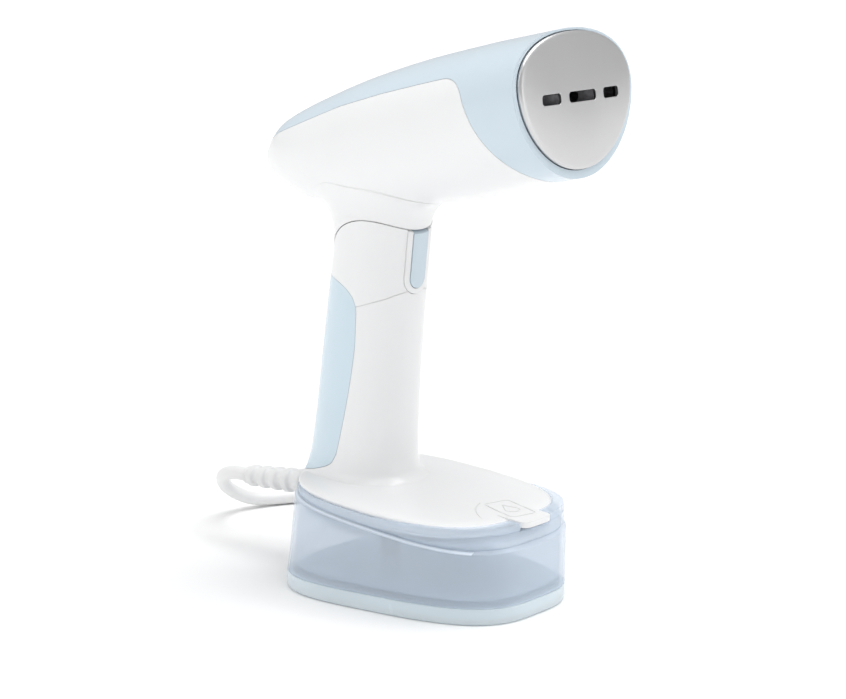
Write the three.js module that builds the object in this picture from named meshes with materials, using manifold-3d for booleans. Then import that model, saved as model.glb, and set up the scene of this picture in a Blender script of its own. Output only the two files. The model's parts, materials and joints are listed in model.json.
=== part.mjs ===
// A folding hand-held garment steamer that stands on its own water tank.
// Millimetres, +Z up, +X towards the steam plate. The origin is on the floor, a little behind the
// middle of the tank's flat bottom.
import * as THREE from 'three';
import { mergeVertices } from 'three/addons/utils/BufferGeometryUtils.js';
import Module from 'manifold-3d';

const wasm = await Module();
wasm.setup();

// ---------------------------------------------------------------- driving dimensions
const GAP = 0.3; // between pieces that touch
const WALL = 2.2; // moulded shells
const RAD = Math.PI / 180;
const FAR = 200; // reach of the cutting solids

const HEAD = { pitch: 12.5 * RAD, z: 215, front: 86, plateTilt: 7 * RAD };
const PLATE = { s: 89.6, width: 38.6, height: 29.9, dome: 2.6, skin: 1.2, slotRise: 1.7, slotHeight: 4.7 };
const PIVOT = { x: -18.8, z: 144 };
const DRUM = 31.2; // radius of the round top of the handle, about the pivot
// the hinge arm: angles in degrees from straight up, half its width and the radius of its hub
const ARM = { back: -60, front: -51, slotBack: -61.5, slotFront: 20.5, half: 6.5, hub: 6.5 };
const DECK = { edge: 45.2, half: 59.6, width: 45.4, x: -0.5, n: 2.9, slope: -0.05, skirtLow: 39.2 };
const TANK = { band: 8, ledge: 40.2, ledgeSlope: -0.085, top: 44.9, step: 1.1, wall: 2 };
// middle, half sizes, squareness and taper of the tank's outline at its foot and at its ledge
const FOOT = { x: 5.2, half: 63.4, width: 48.6, n: 3.3, taper: -0.2 };
const RIM = { x: 3.3, half: 63.8, width: 47.2, n: 3.05, taper: -0.02 };
const TRIGGER = { low: 143, high: 171.5, half: 5 };
const PIN = { x: -5.6, z: 166, r: 1.1 };
const CORD = { d: 7, coilX: -81.5, coilY: 88.7, coilR: 38, turns: 3, layers: 2 };
const RELIEF = { z: 38, back: -118, front: -62.4, drop: 5 };

// ---------------------------------------------------------------- solids and shapes
function solid(geometry) {
  const bare = geometry.clone();
  bare.deleteAttribute('normal');
  bare.deleteAttribute('uv');
  const merged = mergeVertices(bare, 1e-4);
  const index = merged.index.array;
  const triangles = [];
  for (let i = 0; i < index.length; i += 3) {
    const [a, b, c] = [index[i], index[i + 1], index[i + 2]];
    if (a !== b && b !== c && c !== a) {
      triangles.push(a, b, c);
    }
  }
  const vertProperties = new Float32Array(merged.attributes.position.array);
  const mesh = new wasm.Mesh({ numProp: 3, vertProperties, triVerts: new Uint32Array(triangles) });
  return new wasm.Manifold(mesh);
}

function geometryOf(body) {
  const mesh = body.getMesh();
  const geometry = new THREE.BufferGeometry();
  geometry.setAttribute('position', new THREE.BufferAttribute(mesh.vertProperties, 3));
  geometry.setIndex(new THREE.BufferAttribute(mesh.triVerts, 1));
  geometry.computeVertexNormals();
  return geometry;
}

// a smooth, never overshooting function through the given [x, y] points
function curve(...points) {
  const xs = points.map((p) => p[0]);
  const ys = points.map((p) => p[1]);
  const secants = xs.slice(1).map((x, i) => (ys[i + 1] - ys[i]) / (x - xs[i]));
  const slopes = xs.map((_, i) => {
    if (i === 0) {
      return secants[0];
    }
    if (i === xs.length - 1) {
      return secants[i - 1];
    }
    const product = secants[i - 1] * secants[i];
    return product <= 0 ? 0 : (2 * product) / (secants[i - 1] + secants[i]);
  });
  return (x) => {
    const value = Math.min(Math.max(x, xs[0]), xs.at(-1));
    const i = Math.min(Math.max(xs.findIndex((k) => k >= value) - 1, 0), xs.length - 2);
    const h = xs[i + 1] - xs[i];
    const t = (value - xs[i]) / h;
    const bend = h * (slopes[i] * t * (1 - t) ** 2 - slopes[i + 1] * t * t * (1 - t));
    return ys[i] + (ys[i + 1] - ys[i]) * t * t * (3 - 2 * t) + bend;
  };
}

function steps(from, to, count) {
  return Array.from({ length: count + 1 }, (_, i) => from + ((to - from) * i) / count);
}

// a closed solid through rings of super-ellipses: u and v are the two half sizes along the axes of each
// station, n its squareness, taper how much narrower v is towards +u, slope its tilt along +X
function loft(stations, sides = 24) {
  const positions = [];
  for (const { c, axisU, axisV, u, v, n = 2, taper = 0, slope = 0 } of stations) {
    for (let k = 0; k < sides; k += 1) {
      const angle = (2 * Math.PI * k) / sides;
      const pu = u * Math.sign(Math.cos(angle)) * Math.abs(Math.cos(angle)) ** (2 / n);
      const across = v * (1 + (taper * pu) / u);
      const pv = across * Math.sign(Math.sin(angle)) * Math.abs(Math.sin(angle)) ** (2 / n);
      const point = c.clone().addScaledVector(axisU, pu).addScaledVector(axisV, pv);
      positions.push(point.x, point.y, point.z + slope * point.x);
    }
  }
  const rings = stations.length;
  const index = [];
  for (let r = 0; r < rings - 1; r += 1) {
    for (let k = 0; k < sides; k += 1) {
      const a = r * sides + k;
      const b = r * sides + ((k + 1) % sides);
      index.push(a, b, b + sides, a, b + sides, a + sides);
    }
  }
  for (let k = 1; k < sides - 1; k += 1) {
    index.push(0, k + 1, k);
    const last = (rings - 1) * sides;
    index.push(last, last + k, last + k + 1);
  }
  const geometry = new THREE.BufferGeometry();
  geometry.setAttribute('position', new THREE.Float32BufferAttribute(positions, 3));
  geometry.setIndex(index);
  return solid(geometry);
}

const X = new THREE.Vector3(1, 0, 0);
const Y = new THREE.Vector3(0, 1, 0);

function level(z, x, u, v, more = {}) {
  return { c: new THREE.Vector3(x, 0, z), axisU: X, axisV: Y, u, v, ...more };
}

function box(x0, x1, y0, y1, z0, z1) {
  const geometry = new THREE.BoxGeometry(x1 - x0, y1 - y0, z1 - z0);
  geometry.translate((x0 + x1) / 2, (y0 + y1) / 2, (z0 + z1) / 2);
  return solid(geometry);
}

function rod(radius, from, to, sides = 20) {
  const start = new THREE.Vector3(...from);
  const along = new THREE.Vector3(...to).sub(start);
  const geometry = new THREE.CylinderGeometry(radius, radius, along.length(), sides);
  geometry.translate(0, along.length() / 2, 0);
  geometry.applyQuaternion(new THREE.Quaternion().setFromUnitVectors(Y, along.clone().normalize()));
  geometry.translate(start.x, start.y, start.z);
  return solid(geometry);
}

function pipe(outer, inner, from, to, sides = 20) {
  const start = new THREE.Vector3(...from);
  const end = new THREE.Vector3(...to);
  const along = end.clone().sub(start).normalize();
  const before = start.clone().addScaledVector(along, -1);
  const after = end.clone().addScaledVector(along, 1);
  return rod(outer, from, to, sides).subtract(rod(inner, before.toArray(), after.toArray(), sides));
}

function hose(points, radius, sides = 8, count = 16) {
  const path = new THREE.CatmullRomCurve3(points.map((p) => new THREE.Vector3(...p)), false, 'centripetal');
  const section = new THREE.Shape();
  section.absarc(0, 0, radius, 0, 2 * Math.PI);
  const options = { extrudePath: path, steps: count, curveSegments: sides / 2, bevelEnabled: false };
  return solid(new THREE.ExtrudeGeometry(section, options));
}

// an outline in side view, [x, z] points, made thick from y0 to y1
function sideCut(points, y0, y1) {
  const shape = new THREE.Shape(points.map(([x, z]) => new THREE.Vector2(x, z)));
  const geometry = new THREE.ExtrudeGeometry(shape, { depth: y1 - y0, bevelEnabled: false });
  geometry.rotateX(Math.PI / 2);
  geometry.translate(0, y1, 0);
  return solid(geometry);
}

// part of a disc in side view about the pivot, between two radii and two angles from straight up
function sector(r0, r1, from, to, y0, y1, count = 10) {
  const at = (r, degrees) => [PIVOT.x + r * Math.sin(degrees * RAD), PIVOT.z + r * Math.cos(degrees * RAD)];
  const outside = steps(from, to, count).map((a) => at(r1, a));
  const inside = steps(to, from, count).map((a) => at(r0, a));
  return sideCut([...inside, ...outside], y0, y1);
}

function bezier(p0, p1, p2, count) {
  return steps(0, 1, count).map((t) => {
    const part = (i) => (1 - t) ** 2 * p0[i] + 2 * t * (1 - t) * p1[i] + t * t * p2[i];
    return [part(0), part(1)];
  });
}

// ---------------------------------------------------------------- scene helpers
const steamer = new THREE.Group();

function finish(color, roughness, metalness = 0, opacity = 1) {
  return new THREE.MeshStandardMaterial({ color, roughness, metalness, opacity, transparent: opacity < 1 });
}

const WHITE = finish(0xf4f5f5, 0.35);
const BLUE = finish(0xd4e6ee, 0.3);
const CLEAR = finish(0xb4c3d6, 0.12, 0, 0.55);
const STEEL = finish(0xb9bbbd, 0.28, 1);
const ALLOY = finish(0xa9abad, 0.5, 1);
const BLACK = finish(0x2a2c2e, 0.6);
const GREY = finish(0x8d9196, 0.55);
const RUBBER = finish(0xd9dcde, 0.75);
const BRASS = finish(0xb8964c, 0.35, 1);
const BOARD = finish(0x2f6b45, 0.5);
const CORD_WHITE = finish(0xeeeeee, 0.5);

function add(name, body, material, place = [0, 0, 0], turn = 0) {
  const mesh = new THREE.Mesh(geometryOf(body), material);
  mesh.name = name;
  mesh.position.set(...place);
  mesh.rotation.z = turn;
  steamer.add(mesh);
}

// ---------------------------------------------------------------- head: outline in its own pitched line
const headTop = curve(
  [-100, 1], [-97, 7.5], [-91, 12.5], [-78, 19.3], [-39, 27.1], [-13, 30.5], [22, 33.1], [55, 34],
);
const headBottom = curve(
  [-100, -1], [-97, -7], [-85, -13.5], [-68, -22], [-45, -28], [-15, -31.5],
  [30, -33], [57, -31.8], [92, -31],
);
const headWidth = curve(
  [-100, 1], [-97, 6], [-91, 11], [-78, 18.5], [-50, 27], [-20, 33.5], [10, 37.5], [40, 40], [70, 41.3],
);
const headTilt = curve([40, HEAD.pitch], [84, HEAD.plateTilt]);
const headEgg = curve([-60, 0], [80, 0.18]);

function headPoint(s, t) {
  const x = s * Math.cos(HEAD.pitch) - t * Math.sin(HEAD.pitch);
  const z = HEAD.z + s * Math.sin(HEAD.pitch) + t * Math.cos(HEAD.pitch);
  return new THREE.Vector3(x, 0, z);
}

function upright(c, tilt, u, v, more = {}) {
  const axisU = new THREE.Vector3(-Math.sin(tilt), 0, Math.cos(tilt));
  return { c, axisU, axisV: new THREE.Vector3(0, -1, 0), u, v, ...more };
}

function headStation(s, inset) {
  const u = (headTop(s) - headBottom(s)) / 2 - inset;
  const c = headPoint(s, (headTop(s) + headBottom(s)) / 2);
  return upright(c, headTilt(s), u, headWidth(s) - inset, { n: 2.12, taper: headEgg(s) });
}

function headLoft(from, to, count, inset, sides = 28) {
  return loft(steps(from, to, count).map((s) => headStation(s, inset)), sides);
}

const NOSE = [-100, -99, -96, -90, -80, -68];
const headOuter = loft([...NOSE, ...steps(-54, HEAD.front, 7)].map((s) => headStation(s, 0)), 28);
const headInner = headLoft(-89, HEAD.front + 4, 8, WALL);

// a ring square to the steam plate's axis, at distance d in front of the middle of its rim
function plateStation(d, inset) {
  const normal = new THREE.Vector3(Math.cos(HEAD.plateTilt), 0, Math.sin(HEAD.plateTilt));
  const c = headPoint(PLATE.s, 2.6).addScaledVector(normal, d);
  const shape = { n: 2.12, taper: 0.18 };
  return upright(c, HEAD.plateTilt, PLATE.height - inset, PLATE.width - inset, shape);
}

// ---------------------------------------------------------------- neck and handle
const neckX = curve([140, -28.5], [164, -26.2], [172, -27.2], [180, -29.5], [192, -30]);
const neckDepth = curve([140, 23.3], [164, 23.3], [172, 24.2], [176, 26], [180, 29.5], [184, 35], [190, 42]);
const neckWidth = curve([140, 20.4], [164, 20.4], [172, 20.8], [176, 21.5], [180, 22.6], [184, 24], [190, 26]);

function neckLoft(from, to, count, inset) {
  const station = (z) => level(z, neckX(z), neckDepth(z) - inset, neckWidth(z) - inset, { n: 2.2 });
  return loft(steps(from, to, count).map(station));
}

const handleX = curve([44, -40], [62, -38], [110, -33], [168, -25.6], [180, -24.2]);
const handleDepth = curve([46, 46], [48, 37], [50, 31.8], [54, 28.3], [62, 26.4], [110, 24], [168, 23]);
const handleWidth = curve([46, 40], [48, 32], [50, 27.2], [54, 24.2], [62, 22.5], [110, 21.4], [168, 20.2]);
const HANDLE_LEVELS = [46, 48, 50, 54, 62, 86, 110, 130, 150, 164, 178];

function handleLoft(inset, levels = HANDLE_LEVELS) {
  const station = (z) => level(z, handleX(z), handleDepth(z) - inset, handleWidth(z) - inset, { n: 2.2 });
  return loft(levels.map(station));
}

function pivotDisc(radius, sides = 48) {
  return rod(radius, [PIVOT.x, -FAR, PIVOT.z], [PIVOT.x, FAR, PIVOT.z], sides);
}

function roundTop(body, radius) {
  return body.subtract(above(PIVOT.z).subtract(pivotDisc(radius)));
}

// ---------------------------------------------------------------- deck over the tank
const DECK_SIDES = 36;
function deckStation(z, inset) {
  return level(z, DECK.x, DECK.half - inset, DECK.width - inset, { n: DECK.n, slope: DECK.slope });
}

// a solid following the deck's outline, through [height over its edge, distance inside its outline] pairs
function deckLoft(...profile) {
  return loft(profile.map(([rise, inset]) => deckStation(DECK.edge + rise, inset)), DECK_SIDES);
}

function above(z) {
  return box(-FAR, FAR, -FAR, FAR, z, FAR * 2);
}

const deckTop = deckLoft([0, 0.9], [1.6, 0], [2.4, 0.6], [3, 2.2], [3.4, 6], [3.7, 16]);
const deckHollow = deckLoft([-1, 3], [1.2, 3], [1.8, 9]);
const overDeck = deckLoft([0, 0.9], [1.6, 0], [FAR, 0]);

function deckSkirt() {
  const outside = deckLoft([-15, 2.4], [1, 2.4]);
  const inside = deckLoft([-16, 4], [2, 4]);
  return outside.subtract(inside).intersect(above(DECK.skirtLow));
}

const TONGUE = { half: 10, front: 68.5, back: 52, z: 43.6, thick: 2.6, corner: 5 };

// the release tab at the front of the deck
function tongue() {
  const { half, front, back, z, thick, corner } = TONGUE;
  const shape = new THREE.Shape();
  shape.moveTo(back, -half);
  shape.lineTo(front - 4, -half);
  shape.quadraticCurveTo(front, -half, front, -half + corner);
  shape.lineTo(front, half - corner);
  shape.quadraticCurveTo(front, half, front - 4, half);
  shape.lineTo(back, half);
  const geometry = new THREE.ExtrudeGeometry(shape, { depth: thick, bevelEnabled: false, curveSegments: 4 });
  geometry.translate(0, 0, z);
  geometry.applyMatrix4(new THREE.Matrix4().makeShear(0, DECK.slope, 0, 0, 0, 0));
  geometry.translate(0, 0, -DECK.slope * back);
  return solid(geometry);
}

// ---------------------------------------------------------------- rear cover of the handle
const REAR_EDGE = [
  [-FAR, 151],
  [-50, 148.4],
  ...bezier([-40, 146], [-24.5, 142.5], [-24.6, 131], 5),
  ...bezier([-25.4, 116], [-28, 94], [-36.2, 62], 4),
  ...bezier([-38.4, 58], [-43, 52.4], [-80, 47.8], 5),
  [-FAR, 47.8],
];

function rearRegion(back, up) {
  return sideCut(REAR_EDGE.map(([x, z]) => [x - back, z + up]).reverse(), -FAR, FAR);
}

// ---------------------------------------------------------------- pieces of the handset
const bezelOutline = (grow) => {
  const shape = new THREE.Shape();
  const half = TRIGGER.half + grow;
  shape.moveTo(half, TRIGGER.high + grow);
  shape.lineTo(-half, TRIGGER.high + grow);
  shape.lineTo(-half, TRIGGER.low - grow + half);
  shape.absarc(0, TRIGGER.low - grow + half, half, Math.PI, 2 * Math.PI);
  return shape;
};

// the upright outline pushed along X from x0 to x1, leaning with the handle
function facePlug(grow, x0, x1) {
  const options = { depth: x1 - x0, bevelEnabled: false, curveSegments: 10 };
  const geometry = new THREE.ExtrudeGeometry(bezelOutline(grow), options);
  geometry.rotateX(Math.PI / 2);
  geometry.rotateZ(Math.PI / 2);
  const lean = 0.125;
  geometry.translate(x0 - lean * TRIGGER.high, 0, 0);
  geometry.applyMatrix4(new THREE.Matrix4().makeShear(0, 0, 0, 0, lean, 0));
  return solid(geometry);
}

const handsetOuter = roundTop(handleLoft(0), DRUM).intersect(overDeck).add(deckTop);
// the hollow stays a wall's thickness inside the deck's outline too, where the foot of the handle meets it
const handsetInner = roundTop(handleLoft(WALL), DRUM - WALL).intersect(deckLoft([-17, WALL], [FAR, WALL]));

const BUSH = { r: 5, near: 10.5, far: 13.4 };

function bosses() {
  const reach = 19;
  const ring = (y0, y1) => pipe(8.6, BUSH.r + GAP, [PIVOT.x, y0, PIVOT.z], [PIVOT.x, y1, PIVOT.z], 20);
  return [ring(-reach, -BUSH.near), ring(BUSH.near, reach)];
}

const RELIEF_HOLE = { r: 5.4, up: 3.4 };

function slotForArm() {
  const half = ARM.half + 0.7;
  return sector(18, 40, ARM.slotBack, ARM.slotFront, -half, half);
}

function handsetShell() {
  let shell = handsetOuter.subtract(handsetInner).subtract(deckHollow).add(deckSkirt()).add(tongue());
  for (const boss of bosses()) {
    shell = shell.add(boss.intersect(handsetOuter));
  }
  const far = BUSH.far + GAP;
  const bushHole = rod(BUSH.r + GAP, [PIVOT.x, -far, PIVOT.z], [PIVOT.x, far, PIVOT.z]);
  const z = RELIEF.z + RELIEF_HOLE.up;
  const reliefHole = rod(RELIEF_HOLE.r, [-90, 0, z], [-40, 0, z]);
  const pinHole = triggerPinHole().intersect(box(-9, 0, -8, 8, 150, 172));
  shell = shell.subtract(slotForArm()).subtract(bushHole).subtract(reliefHole).subtract(pinHole);
  return shell.subtract(facePlug(3, -16, 20)).subtract(rearRegion(0, 0));
}

function rearCover() {
  const shell = handsetOuter.subtract(handsetInner).subtract(deckHollow);
  return shell.intersect(rearRegion(GAP, -GAP)).intersect(rearRegion(GAP, GAP));
}

// the white frame round the trigger, open through its middle
function triggerBezel() {
  const frame = facePlug(2.7, -8, 20).subtract(facePlug(0.5, -30, 30));
  const skin = roundTop(handleLoft(-0.5), DRUM - 0.4).subtract(roundTop(handleLoft(WALL), DRUM - WALL));
  return frame.intersect(skin);
}

function triggerButton() {
  const skin = roundTop(handleLoft(-0.9), DRUM - 0.8).subtract(handleLoft(3.2));
  const springPocket = rod(2.4, [PIN.x, 1.6, PIN.z], [PIN.x, 9, PIN.z], 12);
  const tailSide = [[-8.5, 150], [-8.6, 141], [-9.9, 129], [-11.2, 129], [-10.1, 141], [-9.2, 150]];
  const tail = sideCut(tailSide, -2.4, 2.4);
  return facePlug(0, -14, 20).intersect(skin).subtract(triggerPinHole()).subtract(springPocket).add(tail);
}

function triggerPinHole() {
  return rod(PIN.r + GAP, [PIN.x, -FAR, PIN.z], [PIN.x, FAR, PIN.z], 12);
}

function handsetPieces() {
  add('handset_shell', handsetShell(), WHITE);
  add('rear_cover', rearCover(), BLUE);
  add('trigger_bezel', triggerBezel().subtract(triggerPinHole()), WHITE);
  add('trigger', triggerButton(), BLUE);
  add('trigger_pin', rod(PIN.r, [PIN.x, -7.6, PIN.z], [PIN.x, 7.6, PIN.z], 12), STEEL);
  add('trigger_spring', pipe(2, PIN.r + GAP, [PIN.x, 2, PIN.z], [PIN.x, 4.8, PIN.z], 12), STEEL);
  add('micro_switch', box(-27, -17, -4.5, 4.5, 122, 133).add(box(-17.1, -15, -1.5, 1.5, 129.6, 132)), BLACK);
  add('bottom_plate', bottomPlate(), GREY);
  for (const [i, [x, y]] of BASE_SCREWS.entries()) {
    const head = rod(2.9, [x, y, PLATE_TOP - 3.6], [x, y, PLATE_TOP - 2.3], 12);
    const shank = rod(1.5, [x, y, PLATE_TOP - 3], [x, y, PLATE_TOP + 0.6], 10);
    add(`base_screw_${i + 1}`, head.add(shank), STEEL);
  }
}

// ---------------------------------------------------------------- under the deck
const PLATE_TOP = 41.9;
const BASE_SCREWS = [[40, 22], [40, -22], [-44, 22], [-44, -22]];
const SUCTION = { x: -22, low: 14, high: 52, r: 3 };

function bottomPlate() {
  const station = (z) => level(z, DECK.x, DECK.half - 4 - GAP, DECK.width - 4 - GAP, { n: 2.9 });
  let plate = loft([station(PLATE_TOP - 2), station(PLATE_TOP)], DECK_SIDES);
  for (const [x, y] of BASE_SCREWS) {
    plate = plate.subtract(rod(1.5 + GAP, [x, y, 30], [x, y, 50], 12));
    plate = plate.subtract(rod(2.9 + GAP, [x, y, 30], [x, y, PLATE_TOP - 2 + 0.9], 12));
  }
  const tubeHole = rod(SUCTION.r + GAP, [SUCTION.x, 0, 30], [SUCTION.x, 0, 50], 16);
  const cordRoom = box(-80, -51.8, -11.6, 11.6, 30, 50);
  return plate.subtract(tubeHole).subtract(cordRoom);
}

// from the bottom of the tank up through the handle to the head
function waterPath() {
  const { x, low, high, r } = SUCTION;
  add('suction_tube', pipe(r, r - 1, [x, 0, low], [x, 0, high - 8], 16), RUBBER);
  const filter = pipe(5, r + GAP, [x, 0, 11.5], [x, 0, 19.5]);
  add('suction_filter', filter.subtract(box(x - 6, x + 6, -1, 1, 11, 14)), GREY);
  const PUMP = { x: -35.5, z: 88, lean: 0.1 };
  const at = (z) => [PUMP.x + PUMP.lean * (z - PUMP.z), 0, z];
  add('pump', rod(10.5, at(66), at(98)).subtract(rod(4, at(98 - 8), at(99))), BLACK);
  add('pump_coil', pipe(15, 10.5 + GAP, at(70), at(92), 28), BRASS);
  add('pump_outlet', rod(3.7, at(90.5), at(108), 12), GREY);
  add('pump_mount', pipe(15.6, 9, at(61), at(65.6), 24), RUBBER);
  add('pump_inlet', rod(3.2, at(53), at(65.6), 12), GREY);
  const toPump = [
    [x, 0, 44.5], [-23, 0, 46.6], [-28, 0, 48.6], [-33, 0, 49.4],
    [-37, 0, 50], [-38.6, 0, 51.2], [-39, 0, 52.3],
  ];
  add('inlet_hose', hose(toPump, 1.8, 8, 14), RUBBER);
  const toHinge = [[-33.3, 0, 109], [-32.6, 6, 116], [-33, 9.2, 126], [-26, 9.2, 134.5]];
  add('outlet_hose', hose(toHinge, 1.3, 8, 14), RUBBER);
}

function electrics() {
  add('circuit_board', box(2, 38, -18, 18, 42.2, 43.4), BOARD);
  add('terminal_block', box(-44, -36, -8, 8, 42.2, 45.6), GREY);
  add('strain_relief', strainRelief(), WHITE);
  add('cord_clamp', box(-51, -46.4, -8, 8, 42.2, 45.2).subtract(box(-49.9, -47.5, -4, 4, 42, 43.4)), GREY);
}

// a ribbed, tapered sleeve that leaves the rear of the deck and droops a little
function strainRelief() {
  const { z, back, front, drop } = RELIEF;
  const length = front - back;
  const ribs = 6;
  const profile = [[0, 0], [7, 0], [7, 3]];
  for (const i of steps(0, ribs - 1, ribs - 1)) {
    const y = 3 + ((length - 6) * (i + 0.5)) / ribs;
    const r = 6.6 - 1.3 * (i / ribs);
    profile.push([r - 1.3, y - 1], [r - 1.3, y], [r, y + 0.6], [r, y + 2.6]);
  }
  profile.push([4.9, length], [0, length]);
  const points = profile.map(([r, y]) => new THREE.Vector2(r, y));
  const geometry = new THREE.LatheGeometry(points, 12);
  geometry.rotateZ(Math.PI / 2);
  geometry.translate(front, 0, z);
  geometry.applyMatrix4(new THREE.Matrix4().makeShear(0, drop / length, 0, 0, 0, 0));
  geometry.translate(0, 0, -(drop / length) * front);
  return solid(geometry);
}

// ---------------------------------------------------------------- the hinge between handset and head
function hinge() {
  const { x, z } = PIVOT;
  add('fold_axle', rod(3, [x, -BUSH.far, z], [x, BUSH.far, z], 20), STEEL);
  for (const [name, side] of [['left', -1], ['right', 1]]) {
    const bush = pipe(BUSH.r, 3 + GAP, [x, side * BUSH.near, z], [x, side * BUSH.far, z], 20);
    add(`axle_bush_${name}`, bush, BRASS);
    add(`friction_washer_${name}`, pipe(8, 3 + GAP, [x, side * 7, z], [x, side * 10.1, z], 24), GREY);
  }
  const half = ARM.half;
  const hub = rod(ARM.hub, [x, -half, z], [x, half, z], 28);
  const web = sector(4, 31.6, ARM.back, ARM.front, -half, half, 2);
  const foot = sector(32.6, 35.8, ARM.front + 8, 12, -half - 3, half + 3, 6);
  const joint = sector(31, 33.4, ARM.front - 3, ARM.front + 10, -half, half, 2);
  const shield = sector(23.4, 25, -120, ARM.back + 4, -half, half, 8);
  const arm = hub.add(web).add(joint).add(foot).add(shield);
  add('hinge_arm', arm.subtract(rod(3 + GAP, [x, -FAR, z], [x, FAR, z], 20)), ALLOY);
}

// ---------------------------------------------------------------- head
const STRIPE_EDGE = [
  [-FAR, 202],
  [-92, 203.4],
  [-79, 210.6],
  [-28, 228],
  [1, 236],
  [28, 242.6],
  ...bezier([40, 245.4], [50, 247.4], [54.6, 240], 5),
  ...bezier([58, 233], [68, 210], [80, 201], 7),
  [84, 190],
  [FAR, 190],
  [FAR, FAR * 2],
  [-FAR, FAR * 2],
];

function stripeRegion(forward, up) {
  return sideCut(STRIPE_EDGE.map(([x, z]) => [x + forward, z + up]), -FAR, FAR);
}

function headCasing() {
  const outside = headOuter.add(neckLoft(PIVOT.z + GAP, 190, 9, 0));
  const inside = headInner.add(neckLoft(140, 190, 8, WALL));
  return outside.subtract(inside).subtract(pivotDisc(DRUM + GAP)).subtract(stripeRegion(0, 0));
}

function headCover() {
  return headOuter.subtract(headInner).intersect(stripeRegion(GAP, GAP));
}

function slotBox(y0, y1, d0, d1, grow = 0) {
  const half = PLATE.slotHeight / 2 + grow;
  const shape = new THREE.Shape();
  shape.absarc(y1 - half, 0, half, -Math.PI / 2, Math.PI / 2);
  shape.absarc(y0 + half, 0, half, Math.PI / 2, (3 * Math.PI) / 2);
  const options = { depth: d1 - d0, bevelEnabled: false, curveSegments: 4 };
  const geometry = new THREE.ExtrudeGeometry(shape, options);
  geometry.translate(0, PLATE.slotRise, d0);
  geometry.rotateX(Math.PI / 2);
  geometry.rotateZ(Math.PI / 2);
  geometry.rotateY(-HEAD.plateTilt);
  const c = plateStation(0, 0).c;
  geometry.translate(c.x, c.y, c.z);
  return solid(geometry);
}

const SLOTS = [[-27, -15], [-9.5, 9.5], [15, 27]];
const SKIRT_INSET = 2.6;

// a solid following the plate's outline, through [distance in front of its rim, inset] pairs
function plateLoft(...profile) {
  return loft(profile.map(([d, inset]) => plateStation(d, inset)), 32);
}

function steamPlate() {
  const { dome, skin } = PLATE;
  const domed = steps(0.35, 1, 4).map((t) => [dome * (1 - t * t) + 0.2, PLATE.height * (1 - t)]).reverse();
  const face = plateLoft([-3, 0.25], [-0.6, 0], ...domed, [dome + 0.2, PLATE.height * 0.9]);
  const skirt = plateLoft([-8, SKIRT_INSET], [-2.9, SKIRT_INSET]);
  const inside = SKIRT_INSET + skin;
  const underFace = domed.slice(0, -1).map(([d, inset]) => [d - skin, inset + inside]);
  let plate = face.add(skirt).subtract(plateLoft([-9, inside], [-0.9, inside], ...underFace));
  for (const [y0, y1] of SLOTS) {
    plate = plate.subtract(slotBox(y0, y1, -3, 8));
  }
  return plate;
}

function heaterBlock() {
  const inset = SKIRT_INSET + PLATE.skin + GAP;
  const block = plateLoft([-24, inset + 2], [-20, inset], [-1.3, inset]);
  return block.subtract(slotBox(-27, 27, -5, 3, 1)).subtract(slotBox(-7, 7, -30, 3, 0.4));
}

// the point at y across and v up the plate, d in front of its rim
function platePoint(d, y, v) {
  const station = plateStation(d, 0);
  const p = station.c.clone().addScaledVector(station.axisU, v);
  return [p.x, y, p.z];
}

function plateRod(radius, y, v, d0, d1, sides = 16) {
  return rod(radius, platePoint(d0, y, v), platePoint(d1, y, v), sides);
}

// a bent tubular heater, its two legs pointing back into the head
function heatingElement() {
  const loop = { d: -28, y: 24, v: 21.5, drop: -1 };
  const bend = steps(-90, 90, 6).map((a) => (
    platePoint(loop.d, loop.y * Math.sin(a * RAD), loop.drop - loop.v * Math.cos(a * RAD))
  ));
  const leg = (side) => [platePoint(-46, side * loop.y, 3), platePoint(-34, side * loop.y, 2.5)];
  return hose([...leg(-1), ...bend, ...leg(1).reverse()], 3, 8, 26);
}

function headPieces() {
  add('head_casing', headCasing(), WHITE);
  add('head_cover', headCover(), BLUE);
  add('steam_plate', steamPlate(), STEEL);
  const seal = plateLoft([-7, 1.5], [-4.6, 1.5]);
  add('plate_gasket', seal.subtract(plateLoft([-8, 2.3], [-3, 2.3])), RUBBER);
  add('heater_block', heaterBlock(), ALLOY);
  add('heating_element', heatingElement(), STEEL);
  const chamber = loft([plateStation(-31, 19.5), plateStation(-24.4, 19.5)], 24);
  const steamHole = plateRod(2.6, 0, 6, -28, -24);
  const nozzleHole = plateRod(1.9, 8, 0, -40, -20);
  add('chamber_cover', chamber.subtract(steamHole).subtract(nozzleHole), ALLOY);
  add('thermostat', plateRod(6, -5, 1, -38, -31.4).add(plateRod(3.5, -5, 1, -42, -37.8, 12)), BLACK);
  add('thermal_fuse', plateRod(2.6, 8, -7, -44, -31.4, 12), GREY);
  add('inlet_nozzle', plateRod(1.6, 8, 0, -44, -26, 12), BRASS);
  const route = [platePoint(-44.5, 8, 0), [24, 8, 222], [-4, 9, 210], [-22, 9, 196], [-24, 9, 184.5]];
  add('feed_hose', hose(route, 1.3, 8, 16), RUBBER);
  const liner = headLoft(44, 62, 1, WALL + 0.9);
  const linerHollow = headLoft(43, 63, 1, WALL + 1.8);
  add('heat_shield', liner.subtract(linerHollow), STEEL);
  for (const [i, [y, v]] of [[13, 9], [-13, 9], [13, -9], [-13, -9]].entries()) {
    add(`chamber_screw_${i + 1}`, plateRod(2.4, y, v, -33.2, -31.4, 10), STEEL);
  }
}

// ---------------------------------------------------------------- tank
// one ring of the tank's outside: upright up to its ledge, which slopes down towards the front, then the rim
const tankSlope = curve([20, 0], [TANK.ledge, TANK.ledgeSlope], [TANK.top, DECK.slope]);

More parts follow.
